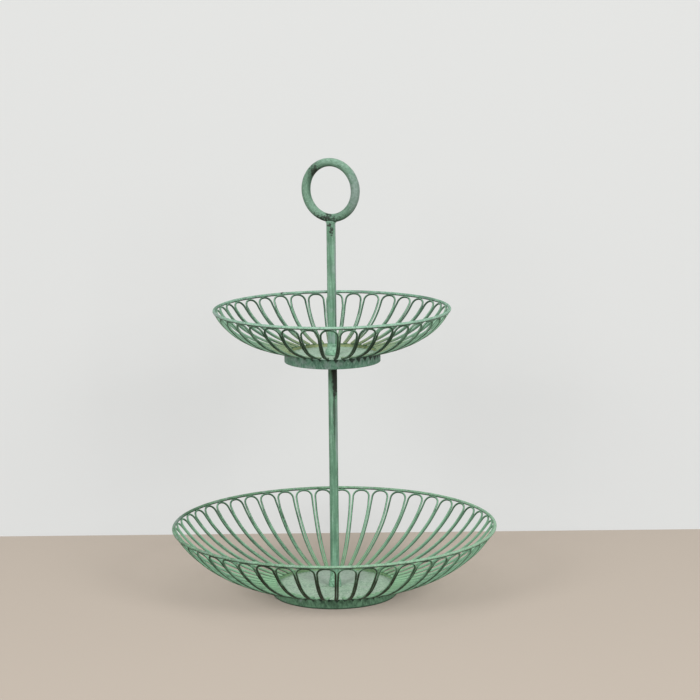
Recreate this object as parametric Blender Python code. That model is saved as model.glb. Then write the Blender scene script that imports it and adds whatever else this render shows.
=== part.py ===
"""Two-tier wire tray: two open bowls of bent wire loops on one steel rod, with a ring to carry it by.

The table is the plane z = 0, the rod stands on the z axis, and the front faces -y. All lengths are
metres. Each bowl is a ring of hairpin loops, welded at their crowns under a rim hoop and at their
feet on the top edge of a flat band. A plate closes the band. The lower bowl is held by a screw from
below, and the upper bowl is clamped between the two halves of the rod on a threaded stud.
"""

import math
from dataclasses import dataclass

import bmesh
import bpy
import numpy as np
from mathutils import Vector

# Air left between two pieces that touch.
FIT_GAP = 0.0003

# Stock that the tray is made from.
LOOP_WIRE_DIAMETER = 0.0023
RIM_WIRE_DIAMETER = 0.0040
ROD_DIAMETER = 0.0112
RING_BAR_DIAMETER = 0.0100
BAND_HEIGHT = 0.0120
BAND_WALL = 0.0015
PLATE_THICKNESS = 0.0015
PLATE_RISE = 0.0080
FOOT_REACH = 0.0030

# The rod, its ferrules and the carrying ring.
UPPER_ROD_LENGTH = 0.1635
RING_OUTER_DIAMETER = 0.0786
RING_TURN = math.radians(-28.0)
COPE_DEPTH = 0.0018
LOWER_FERRULE_DIAMETER = 0.0160
LOWER_FERRULE_HEIGHT = 0.0180
UPPER_FERRULE_DIAMETER = 0.0178
UPPER_FERRULE_HEIGHT = 0.0135
FERRULE_LIP = 0.0006
FLARE_TURN = math.radians(78.0)

# Threaded hardware, M6.
THREAD_DIAMETER = 0.0060
THREAD_CHAMFER = 0.0006
STUD_ENGAGEMENT = 0.0140
SCREW_ENGAGEMENT = 0.0120
TAPPED_DEPTH = 0.0180
WASHER_DIAMETER = 0.0160
WASHER_THICKNESS = 0.0012
SCREW_HEAD_DIAMETER = 0.0115
SCREW_HEAD_HEIGHT = 0.0032
SCREW_HEAD_ROUNDING = 0.0022

# Facets.
WIRE_SIDES = 5
HOOP_SIDES = 6
CROWN_STEPS = 4
ROD_SIDES = 16
THREAD_SIDES = 12
RING_SEGMENTS = 28
RING_SIDES = 8
FLARE_STEPS = 4
PAN_STEPS = 3
SMOOTH_ANGLE = math.radians(40.0)

# Corners nearer than this are one corner, and a length worked out this many times over has settled.
SAME_POINT = 0.000001
SETTLING_ROUNDS = 4


@dataclass(frozen=True)
class Tray:
    """One tier. Heights count from the underside of its band, and turns from the front."""

    name: str
    base_height: float
    rim_radius: float
    rim_height: float
    rim_slope: float
    foot_slope: float
    band_radius: float
    loop_count: int
    first_loop_turn: float
    leg_steps: int

    @property
    def band_inner_radius(self):
        return self.band_radius - BAND_WALL

    @property
    def plate_top(self):
        return self.base_height + PLATE_RISE

    @property
    def loop_step(self):
        return 2.0 * math.pi / self.loop_count


LOWER_TRAY = Tray(
    name="lower_tray",
    base_height=0.0,
    rim_radius=0.2000,
    rim_height=0.0863,
    rim_slope=math.radians(58.0),
    foot_slope=math.radians(9.5),
    band_radius=0.0780,
    loop_count=50,
    first_loop_turn=math.radians(5.0),
    leg_steps=4,
)
UPPER_TRAY = Tray(
    name="upper_tray",
    base_height=0.2940,
    rim_radius=0.1444,
    rim_height=0.0644,
    rim_slope=math.radians(62.0),
    foot_slope=math.radians(8.0),
    band_radius=0.0593,
    loop_count=38,
    first_loop_turn=math.radians(8.9),
    leg_steps=3,
)


class BowlLine:
    """The line in a bowl's side that the middle of the loop wire follows, from crown to foot.

    It is one smooth bend: it leaves the rim at the rim slope and lands on the band at the foot slope.
    Points are (radius, height), and places on it are lengths along the wire from the crown.
    """

    SAMPLES = 240

    def __init__(self, tray):
        hoop_seat = (RIM_WIRE_DIAMETER + LOOP_WIRE_DIAMETER) / 2 + FIT_GAP
        down = Vector((-math.cos(tray.rim_slope), -math.sin(tray.rim_slope)))
        crown = Vector((tray.rim_radius, tray.rim_height)) + hoop_seat * down

        band_seat = (LOOP_WIRE_DIAMETER / 2 + FIT_GAP) / math.cos(tray.foot_slope)
        outward = Vector((math.cos(tray.foot_slope), math.sin(tray.foot_slope)))
        over_band = Vector((tray.band_inner_radius, BAND_HEIGHT + band_seat))
        foot = over_band - FOOT_REACH / outward.x * outward

        across = crown - foot
        reach = across.cross(down) / outward.cross(down)
        belly = foot + reach * outward

        share = np.linspace(0.0, 1.0, self.SAMPLES)
        weights = np.stack([(1 - share) ** 2, 2 * share * (1 - share), share**2], axis=1)
        self.points = weights @ np.array([crown, belly, foot])
        runs = np.linalg.norm(np.diff(self.points, axis=0), axis=1)
        self.lengths = np.concatenate([[0.0], np.cumsum(runs)])

    @property
    def length(self):
        return float(self.lengths[-1])

    def radius(self, along):
        return float(np.interp(along, self.lengths, self.points[:, 0]))

    def height(self, along):
        return float(np.interp(along, self.lengths, self.points[:, 1]))


def loop_pair_points(tray):
    """Points along one length of wire bent into two loops side by side, with a return bend between.

    The pair's middle faces the front. Neighbouring legs run side by side all the way down, so a loop
    is as wide as its share of the bowl wherever it is, and its crown is a half circle.
    """
    line = BowlLine(tray)
    half_step = tray.loop_step / 2
    half_pitch = (LOOP_WIRE_DIAMETER + FIT_GAP) / 2
    crown = line.radius(0.0) * half_step - half_pitch
    for _ in range(SETTLING_ROUNDS):
        crown = line.radius(crown) * half_step - half_pitch
    bend_start = line.length - half_pitch

    def place(turn, along):
        radius = line.radius(along)
        return Vector((radius * math.sin(turn), -radius * math.cos(turn), line.height(along)))

    loop = []
    for along in np.linspace(bend_start, crown, tray.leg_steps + 1)[:-1]:
        loop.append(place(half_pitch / line.radius(along), along))
    for bend in np.linspace(-math.pi / 2, math.pi / 2, CROWN_STEPS + 1):
        along = crown * (1 - math.cos(bend))
        loop.append(place(half_step + crown * math.sin(bend) / line.radius(along), along))
    for along in np.linspace(crown, line.length, tray.leg_steps + 1)[1:]:
        loop.append(place(tray.loop_step - half_pitch / line.radius(along), along))

    mirrored = [Vector((-point.x, point.y, point.z)) for point in reversed(loop)]
    return mirrored + [place(0.0, line.length)] + loop


def painted(name, colour, roughness, metallic):
    """A Principled material."""
    material = bpy.data.materials.new(name)
    material.use_nodes = True
    shader = material.node_tree.nodes["Principled BSDF"]
    shader.inputs["Base Color"].default_value = (*colour, 1.0)
    shader.inputs["Roughness"].default_value = roughness
    shader.inputs["Metallic"].default_value = metallic
    material.diffuse_color = (*colour, 1.0)
    return material


def add_object(name, data, material, parent=None):
    """A new object in the scene, with its one material, standing on its parent."""
    piece = bpy.data.objects.new(name, data)
    bpy.context.scene.collection.objects.link(piece)
    if material is not None:
        data.materials.append(material)
    piece.parent = parent
    return piece


def guide(piece):
    """Mark a cutter or a section, which is not a part of the tray."""
    piece.hide_render = True
    piece.display_type = "WIRE"
    return piece


def turned_mesh(name, outline, sides):
    """A mesh turned round z from an outline of (radius, height) points.

    An outline that starts and ends on the axis stays open there, and any other is closed.
    """
    bm = bmesh.new()
    verts = [bm.verts.new((radius, 0.0, height)) for radius, height in outline]
    for first, second in zip(verts, verts[1:]):
        bm.edges.new((first, second))
    if outline[0][0] > 0.0:
        bm.edges.new((verts[-1], verts[0]))
    bmesh.ops.spin(
        bm,
        geom=bm.verts[:] + bm.edges[:],
        cent=(0.0, 0.0, 0.0),
        axis=(0.0, 0.0, 1.0),
        angle=2.0 * math.pi,
        steps=sides,
    )
    bmesh.ops.remove_doubles(bm, verts=bm.verts, dist=SAME_POINT)
    bmesh.ops.recalc_face_normals(bm, faces=bm.faces)
    mesh = bpy.data.meshes.new(name)
    bm.to_mesh(mesh)
    bm.free()
    mesh.shade_smooth()
    mesh.set_sharp_from_angle(angle=SMOOTH_ANGLE)
    return mesh


def circle_points(radius, sides):
    """Corners of a regular outline round the origin."""
    turns = [2.0 * math.pi * side / sides for side in range(sides)]
    return [(radius * math.cos(turn), radius * math.sin(turn)) for turn in turns]


def hoop_mesh(name, radius, bar_diameter, segments, sides):
    """A closed ring of round bar, lying flat round the origin. The radius is to the bar's middle."""
    section = circle_points(bar_diameter / 2, sides)
    return turned_mesh(name, [(radius + across, height) for across, height in section], segments)


def outline_spline(curve, points):
    """Add a closed run of straight lines through points in the curve's own plane."""
    spline = curve.splines.new("POLY")
    spline.points.add(len(points) - 1)
    for corner, (x, y) in zip(spline.points, points):
        corner.co = (x, y, 0.0, 1.0)
    spline.use_cyclic_u = True


def disc_curve(name, radius, sides, hole_radius, thickness):
    """A flat round plate with a hole through its middle, lying in the plane z = 0 at half thickness."""
    curve = bpy.data.curves.new(name, "CURVE")
    curve.dimensions = "2D"
    curve.fill_mode = "BOTH"
    curve.extrude = thickness / 2
    outline_spline(curve, circle_points(radius, sides))
    outline_spline(curve, circle_points(hole_radius, THREAD_SIDES))
    return curve


def wire_section():
    """The round section that every loop wire is drawn along."""
    curve = bpy.data.curves.new("loop_wire_section", "CURVE")
    curve.dimensions = "2D"
    curve.fill_mode = "NONE"
    outline_spline(curve, circle_points(LOOP_WIRE_DIAMETER / 2, WIRE_SIDES)[::-1])
    return guide(add_object("loop_wire_section", curve, None))


def loop_pair_curve(tray, section, material):
    """The wire of one pair of loops, shared by every pair of its tier."""
    points = loop_pair_points(tray)
    curve = bpy.data.curves.new(tray.name + "_loop_pair", "CURVE")
    curve.dimensions = "3D"
    curve.bevel_mode = "OBJECT"
    curve.bevel_object = section
    curve.use_fill_caps = True
    spline = curve.splines.new("POLY")
    spline.points.add(len(points) - 1)
    for corner, point in zip(spline.points, points):
        corner.co = (*point, 1.0)
    curve.materials.append(material)
    return curve


def add_tray(tray, finishes, section):
    """One tier: rim hoop, loops, band and plate, standing on an empty at its base."""
    base = bpy.data.objects.new(tray.name, None)
    base.location.z = tray.base_height
    bpy.context.scene.collection.objects.link(base)

    hoop = hoop_mesh(tray.name + "_rim", tray.rim_radius, RIM_WIRE_DIAMETER, tray.loop_count, HOOP_SIDES)
    rim = add_object(tray.name + "_rim", hoop, finishes["rim"], base)
    rim.location.z = tray.rim_height
    rim.rotation_euler.z = tray.first_loop_turn - math.pi / 2

    wire = loop_pair_curve(tray, section, finishes["loop"])
    for pair in range(tray.loop_count // 2):
        loops = add_object("%s_loop_pair_%02d" % (tray.name, pair + 1), wire, None, base)
        loops.rotation_euler.z = tray.first_loop_turn + (2 * pair + 0.5) * tray.loop_step

    inner = tray.band_inner_radius
    strip = [
        (inner, 0.0),
        (tray.band_radius, 0.0),
        (tray.band_radius, BAND_HEIGHT),
        (inner, BAND_HEIGHT),
    ]
    add_object(tray.name + "_band", turned_mesh(tray.name + "_band", strip, tray.loop_count),
               finishes["band"], base)

    disc = disc_curve(tray.name + "_plate", inner - FIT_GAP, tray.loop_count,
                      THREAD_DIAMETER / 2 + FIT_GAP, PLATE_THICKNESS)
    plate = add_object(tray.name + "_plate", disc, finishes["plate"], base)
    plate.location.z = PLATE_RISE - PLATE_THICKNESS / 2


def washer_bottom(tray):
    """Height of the underside of the washer that bears on a tier's plate from below."""
    return tray.plate_top - PLATE_THICKNESS - FIT_GAP - WASHER_THICKNESS


def add_washer(name, tray, finish):
    """The flat washer under a tier's plate."""
    disc = disc_curve(name, WASHER_DIAMETER / 2, ROD_SIDES, THREAD_DIAMETER / 2 + FIT_GAP,
                      WASHER_THICKNESS)
    washer = add_object(name, disc, finish)
    washer.location.z = washer_bottom(tray) + WASHER_THICKNESS / 2


def rod_bottom(tray):
    """Height of the end of the rod that stands on a tier's plate."""
    return tray.plate_top + FIT_GAP


def lower_rod_top():
    """Height of the end of the lower rod, under the upper tier's washer."""
    return washer_bottom(UPPER_TRAY) - FIT_GAP


def ring_underside():
    """Lowest point of the carrying ring."""
    return UPPER_TRAY.plate_top + UPPER_ROD_LENGTH


def add_ring(finish):
    """The carrying ring, upright and a little turned from the front."""
    middle = (RING_OUTER_DIAMETER - RING_BAR_DIAMETER) / 2
    hoop = hoop_mesh("ring_handle", middle, RING_BAR_DIAMETER, RING_SEGMENTS, RING_SIDES)
    return stand_ring(add_object("ring_handle", hoop, finish))


def stand_ring(ring):
    """Stand a flat ring up over the rod."""
    ring.location.z = ring_underside() + RING_OUTER_DIAMETER / 2
    ring.rotation_euler = (math.pi / 2, 0.0, RING_TURN)
    return ring


def add_ring_cutter():
    """The ring's bar, thicker by the gap, which copes the end of the rod to fit under it."""
    middle = (RING_OUTER_DIAMETER - RING_BAR_DIAMETER) / 2
    hoop = hoop_mesh("cope_cutter", middle, RING_BAR_DIAMETER + 2 * FIT_GAP, RING_SEGMENTS, RING_SIDES)
    return guide(stand_ring(add_object("cope_cutter", hoop, None)))


def add_upper_rod(finish):
    """The rod from the upper plate to the ring: tapped below, and coped to a saddle at its top."""
    bottom = rod_bottom(UPPER_TRAY)
    top = ring_underside() + COPE_DEPTH
    bore = THREAD_DIAMETER / 2 + FIT_GAP
    outline = [
        (0.0, bottom + TAPPED_DEPTH),
        (bore, bottom + TAPPED_DEPTH),
        (bore, bottom),
        (ROD_DIAMETER / 2, bottom),
        (ROD_DIAMETER / 2, top),
        (0.0, top),
    ]
    rod = add_object("upper_rod", turned_mesh("upper_rod", outline, ROD_SIDES), finish)
    cope = rod.modifiers.new("cope", "BOOLEAN")
    cope.operation = "DIFFERENCE"
    cope.solver = "EXACT"
    cope.object = add_ring_cutter()


def add_lower_rod(finish):
    """The rod between the two plates, tapped at both ends."""
    bottom = rod_bottom(LOWER_TRAY)
    top = lower_rod_top()
    bore = THREAD_DIAMETER / 2 + FIT_GAP
    outline = [
        (0.0, bottom + TAPPED_DEPTH),
        (bore, bottom + TAPPED_DEPTH),
        (bore, bottom),
        (ROD_DIAMETER / 2, bottom),
        (ROD_DIAMETER / 2, top),
        (bore, top),
        (bore, top - TAPPED_DEPTH),
        (0.0, top - TAPPED_DEPTH),
    ]
    add_object("lower_rod", turned_mesh("lower_rod", outline, ROD_SIDES), finish)


def add_ferrule(name, tray, diameter, height, finish):
    """The foot round the end of a rod, flared in an arc like a trumpet's mouth, on a tier's plate."""
    bottom = rod_bottom(tray)
    bore = ROD_DIAMETER / 2 + FIT_GAP
    lip = bore + FERRULE_LIP
    outline = [(bore, bottom), (bore, bottom + height)]
    for step in range(FLARE_STEPS + 1):
        turn = FLARE_TURN * step / FLARE_STEPS
        spread = (1.0 - math.cos(turn)) / (1.0 - math.cos(FLARE_TURN))
        drop = math.sin(turn) / math.sin(FLARE_TURN)
        outline.append((lip + (diameter / 2 - lip) * spread, bottom + height * (1.0 - drop)))
    add_object(name, turned_mesh(name, outline, ROD_SIDES), finish)


def add_stud(finish):
    """The threaded stud that joins the two rods through the upper plate."""
    bottom = lower_rod_top() - STUD_ENGAGEMENT
    top = rod_bottom(UPPER_TRAY) + STUD_ENGAGEMENT
    radius = THREAD_DIAMETER / 2
    outline = [
        (0.0, bottom),
        (radius - THREAD_CHAMFER, bottom),
        (radius, bottom + THREAD_CHAMFER),
        (radius, top - THREAD_CHAMFER),
        (radius - THREAD_CHAMFER, top),
        (0.0, top),
    ]
    add_object("joining_stud", turned_mesh("joining_stud", outline, THREAD_SIDES), finish)


def add_base_screw(finish):
    """The pan-head screw that holds the lower tier to the rod from below."""
    head_top = washer_bottom(LOWER_TRAY) - FIT_GAP
    head_bottom = head_top - SCREW_HEAD_HEIGHT
    tip = rod_bottom(LOWER_TRAY) + SCREW_ENGAGEMENT
    head = SCREW_HEAD_DIAMETER / 2
    shank = THREAD_DIAMETER / 2
    outline = [(0.0, head_bottom)]
    for step in range(PAN_STEPS + 1):
        turn = math.pi / 2 * step / PAN_STEPS
        outline.append((head - SCREW_HEAD_ROUNDING * (1.0 - math.sin(turn)),
                        head_bottom + SCREW_HEAD_ROUNDING * (1.0 - math.cos(turn))))
    outline += [
        (head, head_top),
        (shank, head_top),
        (shank, tip - THREAD_CHAMFER),
        (shank - THREAD_CHAMFER, tip),
        (0.0, tip),
    ]
    add_object("base_screw", turned_mesh("base_screw", outline, THREAD_SIDES), finish)


def main():
    """Build the whole tray."""
    for leftover in list(bpy.data.objects):
        bpy.data.objects.remove(leftover)

    finishes = {
        "rim": painted("rim_paint", (0.200, 0.330, 0.240), 0.75, 0.0),
        "loop": painted("loop_paint", (0.150, 0.270, 0.185), 0.78, 0.0),
        "band": painted("band_paint", (0.135, 0.255, 0.185), 0.78, 0.0),
        "plate": painted("plate_paint", (0.330, 0.430, 0.340), 0.85, 0.0),
        "rod": painted("rod_paint", (0.160, 0.300, 0.210), 0.72, 0.0),
        "hardware": painted("zinc_plate", (0.550, 0.550, 0.520), 0.35, 1.0),
    }
    section = wire_section()
    add_tray(LOWER_TRAY, finishes, section)
    add_tray(UPPER_TRAY, finishes, section)

    add_lower_rod(finishes["rod"])
    add_upper_rod(finishes["rod"])
    add_ferrule("lower_rod_ferrule", LOWER_TRAY, LOWER_FERRULE_DIAMETER, LOWER_FERRULE_HEIGHT,
                finishes["rod"])
    add_ferrule("upper_rod_ferrule", UPPER_TRAY, UPPER_FERRULE_DIAMETER, UPPER_FERRULE_HEIGHT,
                finishes["rod"])
    add_ring(finishes["rod"])

    add_stud(finishes["hardware"])
    add_base_screw(finishes["hardware"])
    add_washer("base_washer", LOWER_TRAY, finishes["hardware"])
    add_washer("upper_tray_washer", UPPER_TRAY, finishes["hardware"])


main()
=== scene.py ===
"""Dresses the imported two-tier wire tray: brushed green patina over dark steel, in a plain soft studio.

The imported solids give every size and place. Each piece made here stands for one or more of them, in
the same frame: metres, z up, the rod on the z axis and the front facing -y. A turn counts from the
front, anticlockwise seen from above.
"""

import logging
import math
from collections.abc import Callable, Sequence
from dataclasses import dataclass, replace
from enum import Enum
from typing import Union

import bmesh
import bpy
from mathutils import Matrix, Vector, noise


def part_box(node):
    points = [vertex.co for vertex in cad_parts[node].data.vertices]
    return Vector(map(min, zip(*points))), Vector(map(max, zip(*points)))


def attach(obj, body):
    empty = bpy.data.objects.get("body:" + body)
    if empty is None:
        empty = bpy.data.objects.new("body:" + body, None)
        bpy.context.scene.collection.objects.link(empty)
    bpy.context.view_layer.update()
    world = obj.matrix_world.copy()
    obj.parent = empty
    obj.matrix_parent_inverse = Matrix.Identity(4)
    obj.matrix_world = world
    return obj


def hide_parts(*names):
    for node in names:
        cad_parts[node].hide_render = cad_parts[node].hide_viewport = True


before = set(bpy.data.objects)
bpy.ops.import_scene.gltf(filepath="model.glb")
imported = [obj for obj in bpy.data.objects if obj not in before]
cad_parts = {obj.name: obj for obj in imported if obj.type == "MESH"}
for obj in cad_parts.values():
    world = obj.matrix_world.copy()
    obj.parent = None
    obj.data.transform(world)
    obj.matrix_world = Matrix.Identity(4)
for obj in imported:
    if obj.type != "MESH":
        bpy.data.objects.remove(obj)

BODY = "root"
MM = 0.001
FULL_TURN = 2.0 * math.pi
QUARTER_TURN = math.pi / 2
SMOOTH_ANGLE = math.radians(42.0)
BORE_RADIUS = 3.3 * MM
VECTOR = "FLOAT_VECTOR"
UP = Vector((0.0, 0.0, 1.0))

# How far the loops stand off their even places: so much once and so much twice round a bowl.
ONCE_ROUND = math.radians(-0.98)
TWICE_ROUND = math.radians(1.06)
TWICE_PHASE = math.radians(37.0)

# How uneven the legs are. A pair with no slack touches all the way, and there is more slack behind.
LOWEST_SLACK = -0.20
USUAL_SLACK = 0.75
SLACK_BEHIND = 0.40
GAP_BEHIND = 0.5

# How far down two legs meet that have no slack, as a factor on the share that a recipe gives.
MEET_WITHOUT_SLACK = 0.6

# How much of a bead's lumps lies under its plain surface.
BEAD_SHRINK = 0.7

# How much of the run between two corners the rounding of one may take.
CORNER_SHARE = 0.45

log = logging.getLogger("tray")

Colour = tuple[float, float, float]
Place = tuple[float, float, float]
Point = tuple[float, float]
Span = tuple[float, float]
Outline = Sequence[Point]
Number = Union[float, "Signal"]
Wobble = Callable[[Vector, Vector], Vector]


def colour(red: int, green: int, blue: int) -> Colour:
    """Turn a screen colour, 0 to 255 a channel, into the linear light that a shader works in."""
    shares = [channel / 255.0 for channel in (red, green, blue)]
    return tuple(s / 12.92 if s < 0.04045 else ((s + 0.055) / 1.055) ** 2.4 for s in shares)


def spaced(values: dict[str, object]) -> dict[str, object]:
    """Put the spaces back into the names of sockets that were given as keywords."""
    return {name.replace("_", " "): value for name, value in values.items()}


@dataclass(frozen=True)
class Cloud:
    """A kind of noise: its waves per metre, its octaves, how rough they are, and its own seed."""

    scale: Number
    detail: float
    rough: float = 0.5
    seed: float = 0.0

    def finer(self, factor: Number) -> "Cloud":
        """Give it so many times as many waves."""
        return replace(self, scale=self.scale * factor)


LEG_WANDER = Cloud(16.0, 1.0)
BAR_DENTS = Cloud(90.0, 2.0)
BEAD_LUMPS = Cloud(700.0, 1.0)
ROD_STROKES = Cloud(440.0, 4.0, 0.62)
BAND_STROKES = Cloud(400.0, 4.0, 0.65)
PLAIN_STROKES = Cloud(420.0, 4.0, 0.6)
WIRE_STREAKS = Cloud(620.0, 3.0, 0.6)
WIRE_TONES = Cloud(62.0, 2.0, seed=1.0)
PATCHES = Cloud(55.0, 2.0, seed=3.0)
FLECKS = Cloud(900.0, 3.0, 0.65, 7.0)
RAGS = Cloud(300.0, 4.0, 0.7, 11.0)
COOL_PATCHES = Cloud(90.0, 2.0, seed=17.0)
STAINS = Cloud(95.0, 3.0, 0.6, 23.0)
WEDGE_RAGS = Cloud(60.0, 2.0, seed=31.0)
LATHE_LINES = Cloud(2600.0, 2.0, 0.55)
SPANGLES = Cloud(480.0, 3.0, 0.55)


def node_maths(operation: str, swapped: bool = False) -> Callable[..., "Signal"]:
    """Make a method of Signal that adds one Math node.

    Args:
        operation: What the node works out.
        swapped: True where the other value comes first.

    Returns:
        The method.
    """

    def method(self: "Signal", *others: Number) -> "Signal":
        """Work it out from this signal and the other values, if any."""
        terms = (*others, self) if swapped else (self, *others)
        return self.wiring.maths(operation, *terms)

    return method


class Signal:
    """A node's output socket that adds Math nodes when it stands in an expression."""

    __add__ = __radd__ = node_maths("ADD")
    __sub__ = node_maths("SUBTRACT")
    __rsub__ = node_maths("SUBTRACT", swapped=True)
    __mul__ = __rmul__ = node_maths("MULTIPLY")
    __truediv__ = node_maths("DIVIDE")
    __rtruediv__ = node_maths("DIVIDE", swapped=True)
    __mod__ = node_maths("MODULO")
    __gt__ = node_maths("GREATER_THAN")
    __abs__ = node_maths("ABSOLUTE")
    at_least = node_maths("MAXIMUM")
    at_most = node_maths("MINIMUM")
    power = node_maths("POWER")
    sign = node_maths("SIGN")
    floor = node_maths("FLOOR")
    fraction = node_maths("FRACT")
    sine = node_maths("SINE")
    cosine = node_maths("COSINE")

    def __init__(self, wiring: "Wiring", socket: bpy.types.NodeSocket) -> None:
        """Keep the socket and the tree it belongs to."""
        self.wiring = wiring
        self.socket = socket

    def __neg__(self) -> "Signal":
        """Change the sign."""
        return self * -1.0

    def share(self) -> "Signal":
        """Hold the value between 0 and 1."""
        return self.at_least(0.0).at_most(1.0)

    def swing(self, width: float) -> "Signal":
        """Make a noise about 0, and so many times as wide, of one about 0.5."""
        return (self - 0.5) * width

    def with_some(self, other: "Signal", share: float) -> "Signal":
        """Take a share of another signal in place of as much of this one."""
        return self * (1.0 - share) + other * share

    def rise(self, low: float, high: float) -> "Signal":
        """Climb smoothly from 0 at one value to 1 at another, which may be the lower one.

        Args:
            low: Value where the result is 0.
            high: Value where the result is 1.

        Returns:
            The smoothed share.
        """
        return self.wiring.out("ShaderNodeMapRange", {"interpolation_type": "SMOOTHSTEP"},
                               {"Value": self, "From Min": low, "From Max": high})


class Wiring:
    """A node tree that is wired up by plain calls."""

    def __init__(self, tree: bpy.types.NodeTree) -> None:
        """Keep the tree."""
        self.tree = tree

    def node(self, kind: str, settings: dict | None = None,
             sockets: dict | None = None) -> bpy.types.Node:
        """Add a node.

        Args:
            kind: The node's type.
            settings: The node's own properties, which are set before its sockets.
            sockets: Values or links of the input sockets, by name or by number.

        Returns:
            The node.
        """
        made = self.tree.nodes.new(kind)
        for name, value in (settings or {}).items():
            setattr(made, name, value)
        for key, value in (sockets or {}).items():
            self.plug(made.inputs[key], value)
        return made

    def out(self, kind: str, settings: dict | None = None, sockets: dict | None = None,
            output: int | str = 0) -> Signal:
        """Add a node and return one of its outputs.

        Args:
            kind: The node's type.
            settings: The node's own properties.
            sockets: Values or links of the input sockets.
            output: Name or number of the output.

        Returns:
            The output as a signal.
        """
        return Signal(self, self.node(kind, settings, sockets).outputs[output])

    def plug(self, socket: bpy.types.NodeSocket, value: object) -> None:
        """Link a signal to a socket, or set the socket's own value.

        Args:
            socket: The input socket.
            value: A signal, a number, a vector or a colour.
        """
        if isinstance(value, Signal):
            self.tree.links.new(value.socket, socket)
        elif socket.type == "RGBA":
            socket.default_value = (*value, 1.0)
        else:
            socket.default_value = value

    def maths(self, operation: str, *terms: Number) -> Signal:
        """Add a Math node."""
        return self.out("ShaderNodeMath", {"operation": operation}, dict(enumerate(terms)))

    def vector(self, operation: str, *terms: object) -> Signal:
        """Add a Vector Math node, and return its number where the operation gives one."""
        output = "Value" if operation in ("DOT_PRODUCT", "LENGTH", "DISTANCE") else "Vector"
        return self.out("ShaderNodeVectorMath", {"operation": operation}, dict(enumerate(terms)), output)

    def scaled(self, vector: Signal, factor: Number) -> Signal:
        """Multiply a vector by a number."""
        return self.out("ShaderNodeVectorMath", {"operation": "SCALE"}, {0: vector, "Scale": factor})

    def mix(self, factor: Number, first: object, second: object) -> Signal:
        """Mix two colours."""
        return self.out("ShaderNodeMix", {"data_type": "RGBA"}, {0: factor, 6: first, 7: second}, 2)

    def join(self, x: Number, y: Number, z: Number) -> Signal:
        """Make a vector of three numbers."""
        return self.out("ShaderNodeCombineXYZ", None, {0: x, 1: y, 2: z})

    def split(self, vector: Signal) -> tuple[Signal, Signal, Signal]:
        """Take a vector apart."""
        parts = self.node("ShaderNodeSeparateXYZ", None, {0: vector})
        return tuple(Signal(self, socket) for socket in parts.outputs)

    def ray(self, place: Signal) -> Signal:
        """Point from the z axis to a place, level and one unit long."""
        x, y, _ = self.split(place)
        return self.vector("NORMALIZE", self.join(x, y, 0.0))

    def cloud(self, place: Signal, kind: Cloud, seed: Number, output: int = 0) -> Signal:
        """Add a Noise texture.

        Args:
            place: Where to read it.
            kind: Its waves.
            seed: Moves the pattern.
            output: 0 for a number, 1 for a vector.

        Returns:
            The noise, about 0.5 on the average.
        """
        seed = seed + kind.seed if kind.seed else seed
        return self.out("ShaderNodeTexNoise", {"noise_dimensions": "4D"},
                        {"Vector": place, "W": seed, "Scale": kind.scale, "Detail": kind.detail,
                         "Roughness": kind.rough}, output)


def hand_set(turn: Signal) -> Signal:
    """Say how far the loops stand off their even places round a bowl, by the turn."""
    return turn.sine() * ONCE_ROUND + (turn * 2.0 + TWICE_PHASE).sine() * TWICE_ROUND


class Paint(Wiring):
    """The node tree of a new material: paint, zinc or a backdrop."""

    def __init__(self, name: str) -> None:
        """Start the material with an empty tree.

        Args:
            name: Name of the material.
        """
        self.material = bpy.data.materials.new(name)
        self.material.use_nodes = True
        super().__init__(self.material.node_tree)
        self.tree.nodes.clear()
        spots = self.node("ShaderNodeTexCoord")
        self.place = Signal(self, spots.outputs["Object"])
        self.normal = Signal(self, spots.outputs["Normal"])

    def stored(self, name: str, output: str = "Fac") -> Signal:
        """Read a value that a recipe stored on the mesh."""
        return self.out("ShaderNodeAttribute", {"attribute_name": name}, None, output)

    def outwards(self) -> Signal:
        """Say how far the surface looks away from the z axis, from -1 to 1."""
        return self.vector("DOT_PRODUCT", self.normal, self.ray(self.place))

    def finish(self, surface: Signal) -> bpy.types.Material:
        """Show a shader, and return the material."""
        self.node("ShaderNodeOutputMaterial", None, {"Surface": surface})
        return self.material

    def finish_surface(self, relief: tuple[float, float, Signal],
                       **sockets: object) -> bpy.types.Material:
        """Show a Principled shader, and return the material.

        Args:
            relief: Strength, depth and height of the bumps.
            **sockets: Its other inputs, with underscores for the spaces in their names.

        Returns:
            The material.
        """
        strength, depth, height = relief
        bumps = self.out("ShaderNodeBump", None,
                         {"Strength": strength, "Distance": depth, "Height": height})
        sockets = {"Normal": bumps, **spaced(sockets)}
        return self.finish(self.out("ShaderNodeBsdfPrincipled", None, sockets))


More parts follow.
